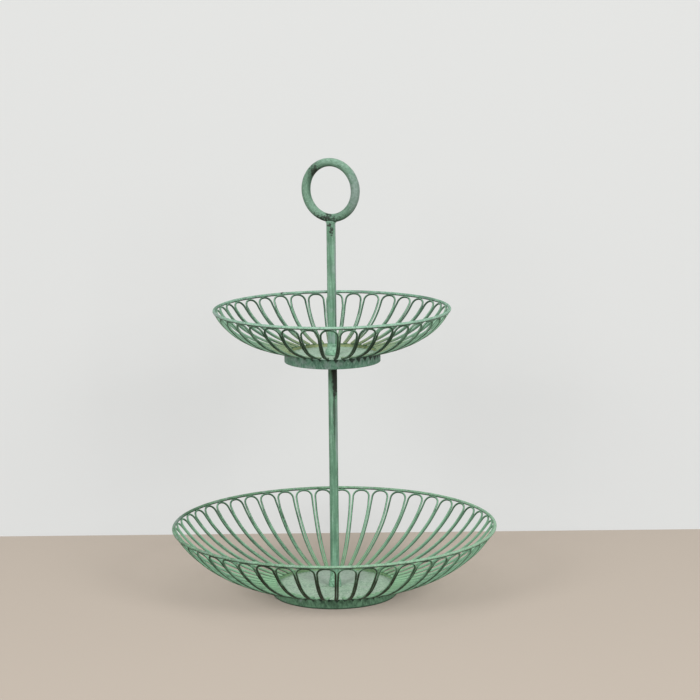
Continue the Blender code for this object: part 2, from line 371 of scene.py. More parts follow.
class Recipe(Wiring):
    """A Geometry Nodes tree with named inputs, which makes plain meshes."""

    def __init__(self, name: str) -> None:
        """Start an empty tree with its geometry output and its finish.

        Args:
            name: Name of the tree.
        """
        super().__init__(bpy.data.node_groups.new(name, "GeometryNodeTree"))
        self.tree.interface.new_socket("Geometry", in_out="OUTPUT", socket_type="NodeSocketGeometry")
        self.entry = self.tree.nodes.new("NodeGroupInput")
        self.identifiers: dict[str, str] = {}
        self.finish = self.wants("Finish", kind="Material")[0]

    def wants(self, *names: str, kind: str = "Float") -> list[Signal]:
        """Add named inputs of one kind.

        Args:
            *names: Their names.
            kind: The kind of their sockets.

        Returns:
            The inputs as signals.
        """
        signals = []
        for name in names:
            made = self.tree.interface.new_socket(name, in_out="INPUT", socket_type="NodeSocket" + kind)
            self.identifiers[name] = made.identifier
            signals.append(Signal(self, self.entry.outputs[name]))
        return signals

    def step(self, kind: str, **sockets: object) -> Signal:
        """Add a Geometry node, with underscores for the spaces in its sockets' names."""
        return self.out("GeometryNode" + kind, None, spaced(sockets))

    def chance(self, key: Signal, seed: Number, low: Number = 0.0) -> Signal:
        """Draw a random number below 1 for each value of a key."""
        return self.out("FunctionNodeRandomValue", {"data_type": "FLOAT"},
                        {2: low, 3: 1.0, "ID": key, "Seed": seed}, 1)

    def around(self, radius: Signal, turn: Signal, height: Signal) -> Signal:
        """Make the place at a turn round the z axis."""
        return self.join(radius * turn.sine(), -radius * turn.cosine(), height)

    def circle(self, corners: Signal, radius: Signal) -> Signal:
        """Draw a circle round the z axis."""
        return self.out("GeometryNodeCurvePrimitiveCircle", {"mode": "RADIUS"},
                        {"Resolution": corners, "Radius": radius})

    def keep(self, geometry: Signal, name: str, value: Signal, data_type: str = "FLOAT") -> Signal:
        """Store a value on the points of a geometry under a name that materials can read."""
        return self.out("GeometryNodeStoreNamedAttribute", {"data_type": data_type, "domain": "POINT"},
                        {"Geometry": geometry, "Name": name, "Value": value})

    def kept(self, name: str, data_type: str = "FLOAT") -> Signal:
        """Read a value that was stored under a name."""
        return self.out("GeometryNodeInputNamedAttribute", {"data_type": data_type}, {"Name": name})

    def bar(self, path: Signal, diameter: Signal, sides: Signal, swell: Number = 1.0) -> Signal:
        """Draw a round bar along a path.

        Args:
            path: The curve.
            diameter: Width of the bar.
            sides: Sides of its section.
            swell: Factor on the diameter at each point of the path.

        Returns:
            The bar's skin.
        """
        section = self.circle(sides, diameter / 2.0)
        return self.step("CurveToMesh", Curve=path, Profile_Curve=section, Scale=swell, Fill_Caps=True)

    def close(self, geometry: Signal) -> None:
        """End the tree: real meshes, smooth faces and the finish.

        Args:
            geometry: What the tree has made.
        """
        real = self.step("RealizeInstances", Geometry=geometry)
        smooth = self.step("SetShadeSmooth", Geometry=real)
        dressed = self.step("SetMaterial", Geometry=smooth, Material=self.finish)
        self.node("NodeGroupOutput", None, {"Geometry": dressed})

    def cast(self, name: str, finish: bpy.types.Material, **values: float) -> bpy.types.Mesh:
        """Run the tree once.

        Args:
            name: Name of the new mesh.
            finish: Material of the piece.
            **values: Values of the named inputs, with underscores for the spaces in their names.

        Returns:
            A plain mesh.
        """
        host = bpy.data.objects.new(name + "_host", bpy.data.meshes.new(name + "_host"))
        bpy.context.scene.collection.objects.link(host)
        modifier = host.modifiers.new("recipe", "NODES")
        modifier.node_group = self.tree
        modifier[self.identifiers["Finish"]] = finish
        for key, value in spaced(values).items():
            modifier[self.identifiers[key]] = value
        graph = bpy.context.evaluated_depsgraph_get()
        mesh = bpy.data.meshes.new_from_object(host.evaluated_get(graph), preserve_all_data_layers=True,
                                               depsgraph=graph)
        mesh.name = name
        host.modifiers.remove(modifier)
        bpy.data.objects.remove(host)
        return mesh


def place_piece(mesh: bpy.types.Mesh, slot: str, *nodes: str) -> None:
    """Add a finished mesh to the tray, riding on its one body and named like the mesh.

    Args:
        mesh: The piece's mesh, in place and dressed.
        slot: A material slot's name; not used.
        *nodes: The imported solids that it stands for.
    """
    piece = bpy.data.objects.new(mesh.name, mesh)
    bpy.context.scene.collection.objects.link(piece)
    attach(piece, BODY)
    if nodes:
        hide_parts(*nodes)
    triangles = sum(len(face.vertices) - 2 for face in mesh.polygons)
    log.info("%s: %d triangles, stands for %d solids", piece.name, triangles, len(nodes))


def recipe_for_endless_wire() -> Recipe:
    """Make the tree for a bowl's side: one wire bent into hairpin loops all the way round.

    Every point on the wire has a number. Whole loops are counted off it, and the rest says where the
    point is on its loop: down a leg, round the crown, or in the return bend at a foot.

    Returns:
        The tree.
    """
    recipe = Recipe("endless_wire")
    ends = [recipe.wants(place + " Radius", place + " Height") for place in ("Crown", "Belly", "Foot")]
    loops, stations, sides, seed = recipe.wants("Loops", "Stations", "Sides", "Seed", kind="Int")
    diameter, half_pitch, bend_radius, bend_share, foot_share = recipe.wants(
        "Wire Diameter", "Half Pitch", "Bend Radius", "Bend Share", "Foot Share")
    first_turn, squareness, crown_gap, meet_share, spread, wander = recipe.wants(
        "First Turn", "Squareness", "Crown Gap", "Meet Share", "Spread", "Wander")

    start, middle, end = [recipe.join(radius, 0.0, height) for radius, height in ends]
    line = recipe.step("CurveQuadraticBezier", Resolution=96, Start=start, Middle=middle, End=end)
    length = recipe.step("CurveLength", Curve=line)

    number = recipe.step("InputIndex")
    loop = (number / stations).floor()
    behind = first_turn + loop * (FULL_TURN / loops)
    crown_gap = crown_gap * (1.0 - GAP_BEHIND * behind.cosine())
    bend_radius = bend_radius - crown_gap
    across = (number - loop * stations + 0.5) / stations * 2.0 - 1.0
    reach = abs(across)
    bend = (reach / bend_share).at_most(1.0) * QUARTER_TURN
    down = ((reach - bend_share) / (1.0 - bend_share - foot_share)).share()
    hook = ((reach - 1.0 + foot_share) / foot_share).at_least(0.0) * QUARTER_TURN

    crown_drop = bend_radius * (1.0 - bend.cosine().at_least(0.0).power(squareness))
    leg_drop = down * (length - bend_radius - half_pitch)
    along = crown_drop + leg_drop + half_pitch * hook.sine()
    sample = recipe.node("GeometryNodeSampleCurve", {"mode": "LENGTH", "use_all_curves": True},
                         {"Curves": line, "Length": along})
    radius, _, height = recipe.split(Signal(recipe, sample.outputs["Position"]))

    mood = recipe.chance(loop, seed)
    leg = loop * 2.0 + (across > 0.0)
    pair = ((leg + 1.0) / 2.0).floor() % loops
    slack = recipe.chance(pair, seed + 1.0, LOWEST_SLACK).at_least(0.0)
    meet = (down / (meet_share * (slack + MEET_WITHOUT_SLACK))).rise(0.0, 1.0)
    slack = slack * (USUAL_SLACK - SLACK_BEHIND * behind.cosine())
    draw_in = crown_gap * (1.0 - meet) + spread * slack * meet * (1.0 - down * down * down)
    tone = mood + (recipe.chance(leg, seed + 2.0) - mood) * down
    leg_side = radius * (math.pi / loops) - half_pitch * hook.cosine() - draw_in
    crown_side = bend_radius * bend.sine().power(squareness)
    off_side = crown_side + (reach > bend_share) * (leg_side - crown_side)
    turn = behind + across.sign() * off_side / radius
    place = recipe.around(radius, turn + hand_set(turn), height)

    wire = recipe.step("MeshLine", Count=loops * stations)
    wire = recipe.step("SetPosition", Geometry=wire, Position=place)
    wire = recipe.keep(wire, "along", along / length)
    wire = recipe.keep(wire, "leg_tone", tone)
    wire = recipe.keep(wire, "slope", Signal(recipe, sample.outputs["Tangent"]), VECTOR)
    path = recipe.step("MeshToCurve", Mesh=wire)
    path = recipe.step("SetSplineCyclic", Geometry=path, Cyclic=True)

    drift = recipe.cloud(recipe.step("InputPosition"), LEG_WANDER, seed, output=1)
    lean = 1.0 - recipe.kept("along") * recipe.kept("along")
    drift = recipe.scaled(recipe.vector("SUBTRACT", drift, (0.5, 0.5, 0.5)), wander * lean)
    path = recipe.step("SetPosition", Geometry=path, Offset=drift)
    path = recipe.keep(path, "run", recipe.out("GeometryNodeSplineParameter", None, None, "Length"))
    path = recipe.keep(path, "travel", recipe.step("InputTangent"), VECTOR)

    skin = recipe.bar(path, diameter, sides)
    slope_r, _, slope_z = recipe.split(recipe.kept("slope", VECTOR))
    ray_x, ray_y, _ = recipe.split(recipe.ray(recipe.step("InputPosition")))
    away = recipe.join(-ray_x * slope_z, -ray_y * slope_z, slope_r)
    into_loop = recipe.vector("CROSS_PRODUCT", recipe.kept("travel", VECTOR), away)
    normal = recipe.step("InputNormal")
    facing = recipe.vector("DOT_PRODUCT", normal, away)
    flank = recipe.vector("DOT_PRODUCT", normal, into_loop)
    skin = recipe.keep(skin, "outer_side", facing)
    skin = recipe.keep(skin, "loop_side", flank)
    on_wire = recipe.join(recipe.kept("run"), flank * diameter / 2.0, facing * diameter / 2.0)
    recipe.close(recipe.keep(skin, "on_wire", on_wire, VECTOR))
    return recipe


def recipe_for_hoop() -> Recipe:
    """Make the tree for a hoop of hand-finished bar with one butt weld.

    Returns:
        The tree.
    """
    recipe = Recipe("hoop")
    radius, height, diameter = recipe.wants("Radius", "Height", "Bar Diameter")
    segments, sides, seed = recipe.wants("Segments", "Sides", "Seed", kind="Int")
    uneven, grain, weld_turn, weld_swell, weld_reach, side_swell = recipe.wants(
        "Unevenness", "Grain", "Weld Turn", "Weld Swell", "Weld Reach", "Side Swell")

    ring = recipe.step("SetPosition", Geometry=recipe.circle(segments, radius),
                       Offset=recipe.join(0.0, 0.0, height))
    here = recipe.step("InputPosition")
    rough = recipe.cloud(here, replace(BAR_DENTS, scale=grain), seed)
    off_weld = recipe.vector("DISTANCE", here, recipe.around(radius, weld_turn, height)) / weld_reach
    swell = (1.0 - off_weld * off_weld).at_least(0.0) * weld_swell
    aside = recipe.split(here)[0] / radius
    swell = swell + aside * aside * side_swell
    recipe.close(recipe.bar(ring, diameter, sides, 1.0 - rough * uneven + swell))
    return recipe


def recipe_for_weld_beads() -> Recipe:
    """Make the tree for a row of small weld beads set round a circle.

    Returns:
        The tree.
    """
    recipe = Recipe("weld_beads")
    count, seed = recipe.wants("Count", "Seed", kind="Int")
    radius, height, first_turn, tilt, size_range, lumps = recipe.wants(
        "Radius", "Height", "First Turn", "Tilt", "Size Range", "Lumps")
    sizes = recipe.wants("Width", "Depth", "Thickness")

    number = recipe.step("InputIndex")
    turn = first_turn + number * (FULL_TURN / count)
    turn = turn + hand_set(turn)
    points = recipe.step("MeshLine", Count=count)
    points = recipe.step("SetPosition", Geometry=points, Position=recipe.around(radius, turn, height))
    bead = recipe.step("MeshIcoSphere", Radius=0.5, Subdivisions=2)
    growth = recipe.chance(number, seed, 1.0 - size_range)
    beads = recipe.step("InstanceOnPoints", Points=points, Instance=bead,
                        Rotation=recipe.join(tilt, 0.0, turn),
                        Scale=recipe.scaled(recipe.join(*sizes), growth))
    beads = recipe.step("RealizeInstances", Geometry=beads)
    lump = recipe.cloud(recipe.step("InputPosition"), BEAD_LUMPS, seed) - BEAD_SHRINK
    shift = recipe.scaled(recipe.step("InputNormal"), lump * lumps)
    recipe.close(recipe.step("SetPosition", Geometry=beads, Offset=shift))
    return recipe


class Ends(Enum):
    """How the first and last rings of a turned piece end."""

    CAPPED = "capped"
    JOINED = "joined"


def softened(outline: Outline, rounding: float, steps: int = 3, closed: bool = True) -> list[Point]:
    """Round the corners of an outline.

    Args:
        outline: Corners as (radius, height).
        rounding: How far from its corner each bend starts.
        steps: Straight runs in a bend.
        closed: False where the first and last corners stay as they are.

    Returns:
        The longer outline.
    """
    corners = [Vector(corner) for corner in outline]
    rounded = []
    for index, corner in enumerate(corners):
        if not closed and index in (0, len(corners) - 1):
            rounded.append(tuple(corner))
            continue
        before = corners[index - 1] - corner
        after = corners[(index + 1) % len(corners)] - corner
        start = corner + before.normalized() * min(rounding, before.length * CORNER_SHARE)
        end = corner + after.normalized() * min(rounding, after.length * CORNER_SHARE)
        for step in range(steps + 1):
            share = step / steps
            point = start * (1 - share) ** 2 + corner * 2 * share * (1 - share) + end * share**2
            rounded.append(tuple(point))
    return rounded


def tube(inner: float, outer: float, bottom: float, top: float, rounding: float) -> list[Point]:
    """Outline the wall of a tube or a pierced disc, with its corners rounded."""
    return softened([(inner, bottom), (outer, bottom), (outer, top), (inner, top)], rounding)


def subdivided(outline: Outline, longest: float) -> list[Point]:
    """Add points to the long runs of an outline, so that it can carry unevenness.

    Args:
        outline: Points as (radius, height).
        longest: Longest run that is left as it is.

    Returns:
        The longer outline.
    """
    finer = [outline[0]]
    for start, end in zip(outline, outline[1:]):
        runs = max(1, math.ceil(math.dist(start, end) / longest))
        for run in range(1, runs + 1):
            share = run / runs
            finer.append((start[0] + (end[0] - start[0]) * share,
                          start[1] + (end[1] - start[1]) * share))
    return finer


def mesh_from(bm: bmesh.types.BMesh, name: str, finish: bpy.types.Material) -> bpy.types.Mesh:
    """Turn an edit mesh, which is freed, into a dressed mesh.

    Args:
        bm: The edit mesh.
        name: Name of the mesh.
        finish: Material of the piece.

    Returns:
        The mesh.
    """
    mesh = bpy.data.meshes.new(name)
    bm.to_mesh(mesh)
    bm.free()
    mesh.materials.append(finish)
    return mesh


def turned(name: str, outline: Outline, segments: int, ends: Ends, finish: bpy.types.Material,
           wobble: Wobble | None = None) -> bpy.types.Mesh:
    """Turn an outline round the z axis.

    Args:
        name: Name of the mesh.
        outline: Points as (radius, height). With capped ends it runs from axis to axis.
        segments: Steps round the axis.
        ends: Whether the outline closes on itself or ends on the axis.
        finish: Material of the piece.
        wobble: Gives the shift of a point, from its place and its ray away from the axis.

    Returns:
        The mesh, with its faces pointing outwards.
    """
    bm = bmesh.new()
    rings = []
    for radius, height in outline:
        ring = []
        for segment in range(segments if radius > 0.0 else 1):
            turn = FULL_TURN * segment / segments
            ray = Vector((math.sin(turn), -math.cos(turn), 0.0))
            point = ray * radius + UP * height
            if wobble and radius > 0.0:
                point += wobble(point, ray)
            ring.append(bm.verts.new(point))
        rings.append(ring)
    pairs = list(zip(rings, rings[1:]))
    if ends is Ends.JOINED:
        pairs.append((rings[-1], rings[0]))
    for low, high in pairs:
        for segment in range(segments):
            following = (segment + 1) % segments
            corners = [low[segment % len(low)], low[following % len(low)],
                       high[following % len(high)], high[segment % len(high)]]
            bm.faces.new(list(dict.fromkeys(corners)))
    bmesh.ops.recalc_face_normals(bm, faces=bm.faces)
    mesh = mesh_from(bm, name, finish)
    mesh.shade_smooth()
    mesh.set_sharp_from_angle(angle=SMOOTH_ANGLE)
    return mesh


def hand_made(depth: float, wave: float, seed: float, flat: bool = False) -> Wobble:
    """Make the slight unevenness of a hand-finished surface.

    Args:
        depth: Largest dent.
        wave: Length of its waves.
        seed: Moves the pattern.
        flat: True for a plate, which is dented downwards and not towards the axis.

    Returns:
        A function that gives the shift of a point, always inwards.
    """

    def dent(point: Vector, ray: Vector) -> Vector:
        """Return the shift at a point."""
        away = UP if flat else ray
        return away * (-depth * (0.5 + 0.5 * noise.noise(point / wave + Vector((seed, 0.0, 0.0)))))

    return dent


class Grain(Enum):
    """The way the paint was brushed on a piece."""

    UP_THE_ROD = "up the rod"
    ROUND_THE_HOOP = "round the hoop"
    DOWN_THE_BAND = "down the band"
    ALL_WAYS = "all ways"


class Layer(Enum):
    """A layer of the finish that a mark lays bare or adds."""

    BARE = "bare"
    DEEP = "deep"
    COOL = "cool"


@dataclass(frozen=True)
class Mark:
    """A place where the finish changes, as a soft ball with a ragged edge: wear and stains, and some
    painted shadows.
    """

    place: Place
    reach: Place
    strength: float = 1.0
    layer: Layer = Layer.BARE
    raggedness: float = 4.0


@dataclass(frozen=True)
class Patina:
    """Green patina paint brushed over dark steel.

    The layers lie on each other in this order: deep green, body green, cool grey, tint, mint where the
    dry brush touched last, deep and cool marks, then the dark steel that wear and bare marks leave and
    the darkening of faces that look down, which is painted shade and partly steel that the brush didn't
    reach. Some marks are painted shadows. Covers, rubs and the like shift the noise that decides where a
    layer shows; the lift of the right side is painted light.
    """

    name: str
    grain: Grain = Grain.ALL_WAYS
    body: Colour = colour(106, 149, 123)
    deep: Colour = colour(76, 113, 90)
    mint: Colour = colour(146, 186, 160)
    cool: Colour = colour(134, 146, 144)
    bare: Colour = colour(31, 38, 29)
    tint: Colour = colour(142, 146, 92)
    mint_cover: float = 0.42
    cool_cover: float = 0.25
    bare_cover: float = 0.10
    tint_cover: float = 0.0
    # How dark faces that look down turn: painted shade, and partly dark steel where the brush didn't
    # reach.
    dark_below: float = 0.40
    rub_up: float = 0.06
    rub_out: float = 0.0
    # How much lighter the right side is: painted light.
    right_side_light: float = 0.0
    under_from: float = -0.35
    under_full: float = -0.90
    roughness: float = 0.66
    crispness: float = 1.0
    patch_size: float = 1.0
    patch_share: float = 0.35
    seed: float = 0.0
    hub: Place = (0.0, 0.0, 0.0)
    hub_turn: Place = (0.0, 0.0, 0.0)
    hub_radius: float = 0.1
    hoop_strokes: float = 440.0
    hoop_draw: float = 0.16
    rod_draw: float = 0.06
    band_draw: float = 0.50
    smear_rags: float = 0.35
    underside_rags: float = 1.2
    body_edge: Span = (0.48, 0.12)
    cool_edge: Span = (0.66, 0.08)
    cool_spread: float = 0.4
    cool_patches: float = 0.2
    cool_strength: float = 0.75
    tint_edge: Span = (0.42, 0.62)
    mint_edge: Span = (0.54, 0.10)
    mint_spread: float = 0.5
    coat_strength: float = 0.85
    mark_edge: Span = (0.05, 0.45)
    chip_edge: Span = (0.39, 0.29)
    chip_spread: float = 0.25
    chip_flecks: float = 0.3
    chip_strength: float = 0.8
    roughness_range: float = 0.18
    bare_shine: float = 0.08
    specular: float = 0.34
    bump: float = 0.55
    bump_depth: float = 0.22 * MM
    mark_rags: float = 0.5
    stroke_relief: float = 0.6
    rag_relief: float = 0.5
    fleck_relief: float = 0.35
    coat_relief: float = 0.5
    marks: tuple[Mark, ...] = ()

    def stroke(self, paint: Paint, place: Signal) -> Signal:
        """Make the brush strokes: fine noise drawn out the way that the brush went.

        Args:
            paint: The material's tree.
            place: Where to read the noise, seen from the hub.

        Returns:
            The strokes, about 0.5 on the average.
        """
        x, y, z = paint.split(place)
        if self.grain is Grain.UP_THE_ROD:
            return paint.cloud(paint.join(x, y, z * self.rod_draw), ROD_STROKES, self.seed)
        if self.grain is Grain.DOWN_THE_BAND:
            return paint.cloud(paint.join(x, y, z * self.band_draw), BAND_STROKES, self.seed)
        if self.grain is Grain.ROUND_THE_HOOP:
            off_middle = paint.vector("LENGTH", paint.join(x, y, 0.0)) - self.hub_radius
            round_it = paint.scaled(paint.ray(place), self.hub_radius * self.hoop_draw)
            round_x, round_y, _ = paint.split(round_it)
            return paint.cloud(paint.join(round_x, round_y, off_middle),
                               replace(ROD_STROKES, scale=self.hoop_strokes),
                               z * self.hoop_strokes + self.seed)
        return paint.cloud(place, PLAIN_STROKES, self.seed)

    def painted_shade_and_bare(self, paint: Paint, stroke: Signal) -> Signal:
        """Say how dark faces that look down turn: painted shade, and partly the dark steel where the
        brush, which came from above, didn't reach.
        """
        low = paint.split(paint.normal)[2] + stroke.swing(self.underside_rags)
        return low.rise(self.under_from, self.under_full) * self.dark_below

    def blend(self, value: Signal, middle: float, half_width: float) -> Signal:
        """Turn noise into the share of a layer, with edges as crisp as the finish has them."""
        return value.rise(middle - half_width / self.crispness, middle + half_width / self.crispness)

    def special(self, paint: Paint, smear: Signal, tone: Signal) -> Signal:
        """Give a finish of its own kind the last word on its tone.

        Args:
            paint: The material's tree.
            smear: Noise that breaks up the edges.
            tone: The tone so far.

        Returns:
            The finished tone.
        """
        return tone

    def worn(self, paint: Paint, ragged: Signal, layer: Layer) -> Signal | float:
        """Add up the marks of one layer.

        Args:
            paint: The material's tree.
            ragged: Noise that breaks up the marks' edges.
            layer: Which marks to take.

        Returns:
            The share of the surface that they take, or 0 where there are none.
        """
        total: Signal | float = 0.0
        for mark in self.marks:
            if mark.layer is layer:
                away = paint.vector("SUBTRACT", paint.place, mark.place)
                away = paint.vector("DIVIDE", away, mark.reach)
                depth = 1.0 - paint.vector("LENGTH", away) + ragged.swing(mark.raggedness)
                total = depth.rise(*self.mark_edge) * mark.strength + total
        return total

    def make(self) -> bpy.types.Material:
        """Build the material.

        Returns:
            The material, with a Principled shader.
        """
        paint = Paint(self.name)
        place = paint.out("ShaderNodeMapping", {"vector_type": "TEXTURE"},
                          {"Vector": paint.place, "Location": self.hub, "Rotation": self.hub_turn})
        finer = 1.0 / self.patch_size
        stroke = self.stroke(paint, place)
        patch = paint.cloud(paint.place, PATCHES.finer(finer), self.seed)
        fleck = paint.cloud(paint.place, FLECKS, self.seed)
        ragged = paint.cloud(paint.place, RAGS, self.seed)
        smear = stroke.with_some(ragged, self.smear_rags)

        # Painted light: the right side is lifted towards the body and mint layers.
        painted_right_light = paint.split(paint.place)[0] * self.right_side_light
        mottled = stroke.with_some(patch, self.patch_share)
        tone = paint.mix(self.blend(mottled + painted_right_light, *self.body_edge), self.deep, self.body)
        cooled = paint.cloud(paint.place, COOL_PATCHES.finer(finer), self.seed)
        cooled = stroke.with_some(cooled, self.patch_share + self.cool_patches)
        middle, half_width = self.cool_edge
        cooled = self.blend(cooled, middle - self.cool_cover * self.cool_spread, half_width)
        tone = paint.mix(cooled * self.cool_strength, tone, self.cool)
        if self.tint_cover > 0.0:
            stain = paint.cloud(paint.place, STAINS, self.seed) + (self.tint_cover - 0.5)
            tone = paint.mix(stain.rise(*self.tint_edge) * self.coat_strength, tone, self.tint)
        up = paint.split(paint.normal)[2]
        rubbed = smear + up * self.rub_up + painted_right_light + (self.mint_cover - 0.5) * self.mint_spread
        if self.rub_out:
            rubbed = rubbed + paint.outwards() * self.rub_out
        tone = paint.mix(self.blend(rubbed, *self.mint_edge) * self.coat_strength, tone, self.mint)
        for layer, shade in ((Layer.DEEP, self.deep), (Layer.COOL, self.cool)):
            share = self.worn(paint, smear, layer)
            if isinstance(share, Signal):
                tone = paint.mix(share.share(), tone, shade)

        chip_from, chip_full = (edge + self.bare_cover * self.chip_spread for edge in self.chip_edge)
        chipped = smear.with_some(fleck, self.chip_flecks).rise(chip_from, chip_full)
        # Chips are wear, bare marks are wear and some painted shadows, and the darkening of faces that
        # look down is painted shade, partly bare steel.
        bare_and_shade = self.worn(paint, smear.with_some(ragged, self.mark_rags), Layer.BARE)
        bare_and_shade = (chipped * self.chip_strength + bare_and_shade + self.painted_shade_and_bare(paint, stroke)).share()
        tone = self.special(paint, smear, paint.mix(bare_and_shade, tone, self.bare))
        height = stroke * self.stroke_relief + ragged * self.rag_relief + fleck * self.fleck_relief
        rough = fleck.swing(self.roughness_range) + self.roughness - bare_and_shade * self.bare_shine
        return paint.finish_surface((self.bump, self.bump_depth, height - bare_and_shade * self.coat_relief),
                                    Base_Color=tone, Roughness=rough, Metallic=0.0,
                                    Specular_IOR_Level=self.specular)


@dataclass(frozen=True)
class WirePatina(Patina):
    """The same paint on the bowls' wires, streaked along them, with painted light and shade: outer sides
    darker in front, partly bare steel, and lighter sides, dark crevices and light flanks.
    """

    body: Colour = colour(103, 148, 117)
    deep: Colour = colour(56, 90, 66)
    mint: Colour = colour(142, 185, 156)
    bare: Colour = colour(27, 32, 22)
    tint: Colour = colour(146, 150, 100)
    # Colour of the dark lines and crests: painted shade in the crevices and on the crests, partly dark
    # paint.
    edge: Colour = colour(40, 66, 48)
    bare_cover: float = 0.0
    front_span: Span = (0.45, 0.95)
    side_span: Span = (-0.55, 0.0)
    quarter_span: Span = (0.05, 0.45)
    streak_draw: float = 0.10
    slow_share: float = 0.34
    leg_range: float = 0.11
    # How much darker the outer side is painted than the inner side: painted shade.
    inner_light: float = 0.13
    inner_light_middle: float = 0.45
    inner_light_behind: float = 0.2
    # How much lighter the bowl's sides are painted: painted light.
    side_light: float = 0.12
    dark_below: float = 0.92
    dark_from: float = 0.60
    dark_edge: float = 0.20
    dark_rags: float = 2.4
    dark_middle: float = 0.42
    dark_behind: float = 0.10
    crown_light: float = 0.20
    crown_light_span: Span = (0.14, 0.0)
    edge_dark: float = 0.95
    edge_from: float = -0.15
    edge_width: float = 0.45
    edge_rags: float = 2.0
    line_rags: float = 1.6
    inner_half: Span = (0.30, 0.0)
    crown_line: float = 0.55
    crown_line_span: Span = (0.16, 0.02)
    crown_line_edge: Span = (-0.75, -0.15)
    between_line: float = 0.45
    between_edge: Span = (0.50, 0.90)
    less_in_front: float = 0.8
    less_beside: float = 0.7
    less_at_foot: float = 0.3
    side_dark: float = 0.60
    crest_edge: Span = (0.35, 0.75)
    # Strength of the painted highlights on the flanks in front.
    edge_light: float = 0.60
    flank_span: Span = (0.60, 0.90)
    flank_highlight_span: Span = (0.38, 0.52)
    foot_tint: float = 0.0
    foot_rags: float = 0.9
    foot_span: Span = (0.55, 1.0)
    foot_inside: Span = (0.1, -0.5)

    def about(self, paint: Paint) -> tuple[Signal, Signal, Signal]:
        """Say how far a place belongs to the bowl's front, to its sides and to its front quarters.

        Args:
            paint: The material's tree.

        Returns:
            The shares. The sides begin behind the middle and end at the front, and the front
            quarters are their forward parts.
        """
        forward = -paint.split(paint.ray(paint.place))[1]
        front = forward.rise(*self.front_span)
        behind = 1.0 - front
        return front, forward.rise(*self.side_span) * behind, forward.rise(*self.quarter_span) * behind

    def stroke(self, paint: Paint, place: Signal) -> Signal:
        """Make streaks along each wire, with a tone for each leg, the outer side darker as painted shade
        and the bowl's sides lighter as painted light.

        Args:
            paint: The material's tree.
            place: Where to read the slow noise.

        Returns:
            The streaks, about 0.5 on the average.
        """
        run, flank, outer = paint.split(paint.stored("on_wire", "Vector"))
        streak = paint.cloud(paint.join(run * self.streak_draw, flank, outer), WIRE_STREAKS, self.seed)
        streak = streak.with_some(paint.cloud(place, WIRE_TONES, self.seed), self.slow_share)
        front, side, _ = self.about(paint)
        # Painted shade on the outer side, strongest in front, and painted light on the bowl's sides.
        seen = front * (1.0 - self.inner_light_behind) + self.inner_light_behind
        shaded = (paint.stored("outer_side") + self.inner_light_middle) * seen * self.inner_light
        lit = side * self.side_light + paint.stored("leg_tone").swing(self.leg_range)
        return streak + lit - shaded

    def painted_shade_and_bare(self, paint: Paint, stroke: Signal) -> Signal:
        """Darken the outer side of the wire in front, with ragged edges that follow the streaks: painted
        shade, and partly dark steel left bare.

        Args:
            paint: The material's tree.
            stroke: The streaks.

        Returns:
            How much of the dark steel colour is laid on.
        """
        ragged = paint.stored("outer_side") * (1.0 - self.inner_light)
        ragged = ragged + (self.dark_middle - stroke) * self.dark_rags
        ragged = ragged - paint.stored("along").rise(*self.crown_light_span) * self.crown_light
        covered = self.about(paint)[0] * (1.0 - self.dark_behind) + self.dark_behind
        return ragged.rise(self.dark_from, self.dark_from + self.dark_edge) * covered * self.dark_below

    def special(self, paint: Paint, smear: Signal, tone: Signal) -> Signal:
        """Draw the dark lines behind and beside, painted shade in the crevices and partly dark paint,
        the dark crests, painted shade, and the light edges in front, painted highlights; then stain the
        feet.

        Args:
            paint: The material's tree.
            smear: Noise that breaks up the edges.
            tone: The tone so far.

        Returns:
            The finished tone.
        """
        outer, flank, along = [paint.stored(name) for name in ("outer_side", "loop_side", "along")]
        front, side, quarter = self.about(paint)
        inner_half = outer.rise(*self.inner_half)
        rags = smear.swing(-self.line_rags)
        # Dark lines along the legs and between them: painted shade in the crevices, partly dark paint.
        edge = flank + smear.swing(-self.edge_rags)
        edge = edge.rise(self.edge_from, self.edge_from + self.edge_width) * inner_half
        crown = along.rise(*self.crown_line_span) * (flank + rags).rise(*self.crown_line_edge)
        between = (rags - flank).rise(*self.between_edge) * inner_half
        lines = edge.at_least(crown * self.crown_line).at_least(between * self.between_line)
        lines = lines * (1.0 - front * self.less_in_front) * (1.0 - side * self.less_beside)
        lines = lines * (1.0 - along * self.less_at_foot) * self.edge_dark
        # Darker crests in the front quarters: painted shade.
        crest = (abs(outer) + rags).rise(*self.crest_edge) * quarter * self.side_dark
        tone = paint.mix(crest, paint.mix(lines, tone, self.edge), self.edge)
        # Light flanks in front: painted highlights.
        brushed = abs(flank).rise(*self.flank_span) * smear.rise(*self.flank_highlight_span) * front
        tone = paint.mix(brushed * self.edge_light, tone, self.mint)
        stained = (along + smear.swing(self.foot_rags)).rise(*self.foot_span)
        stained = stained * outer.rise(*self.foot_inside) * self.foot_tint
        return paint.mix(stained, tone, self.tint)


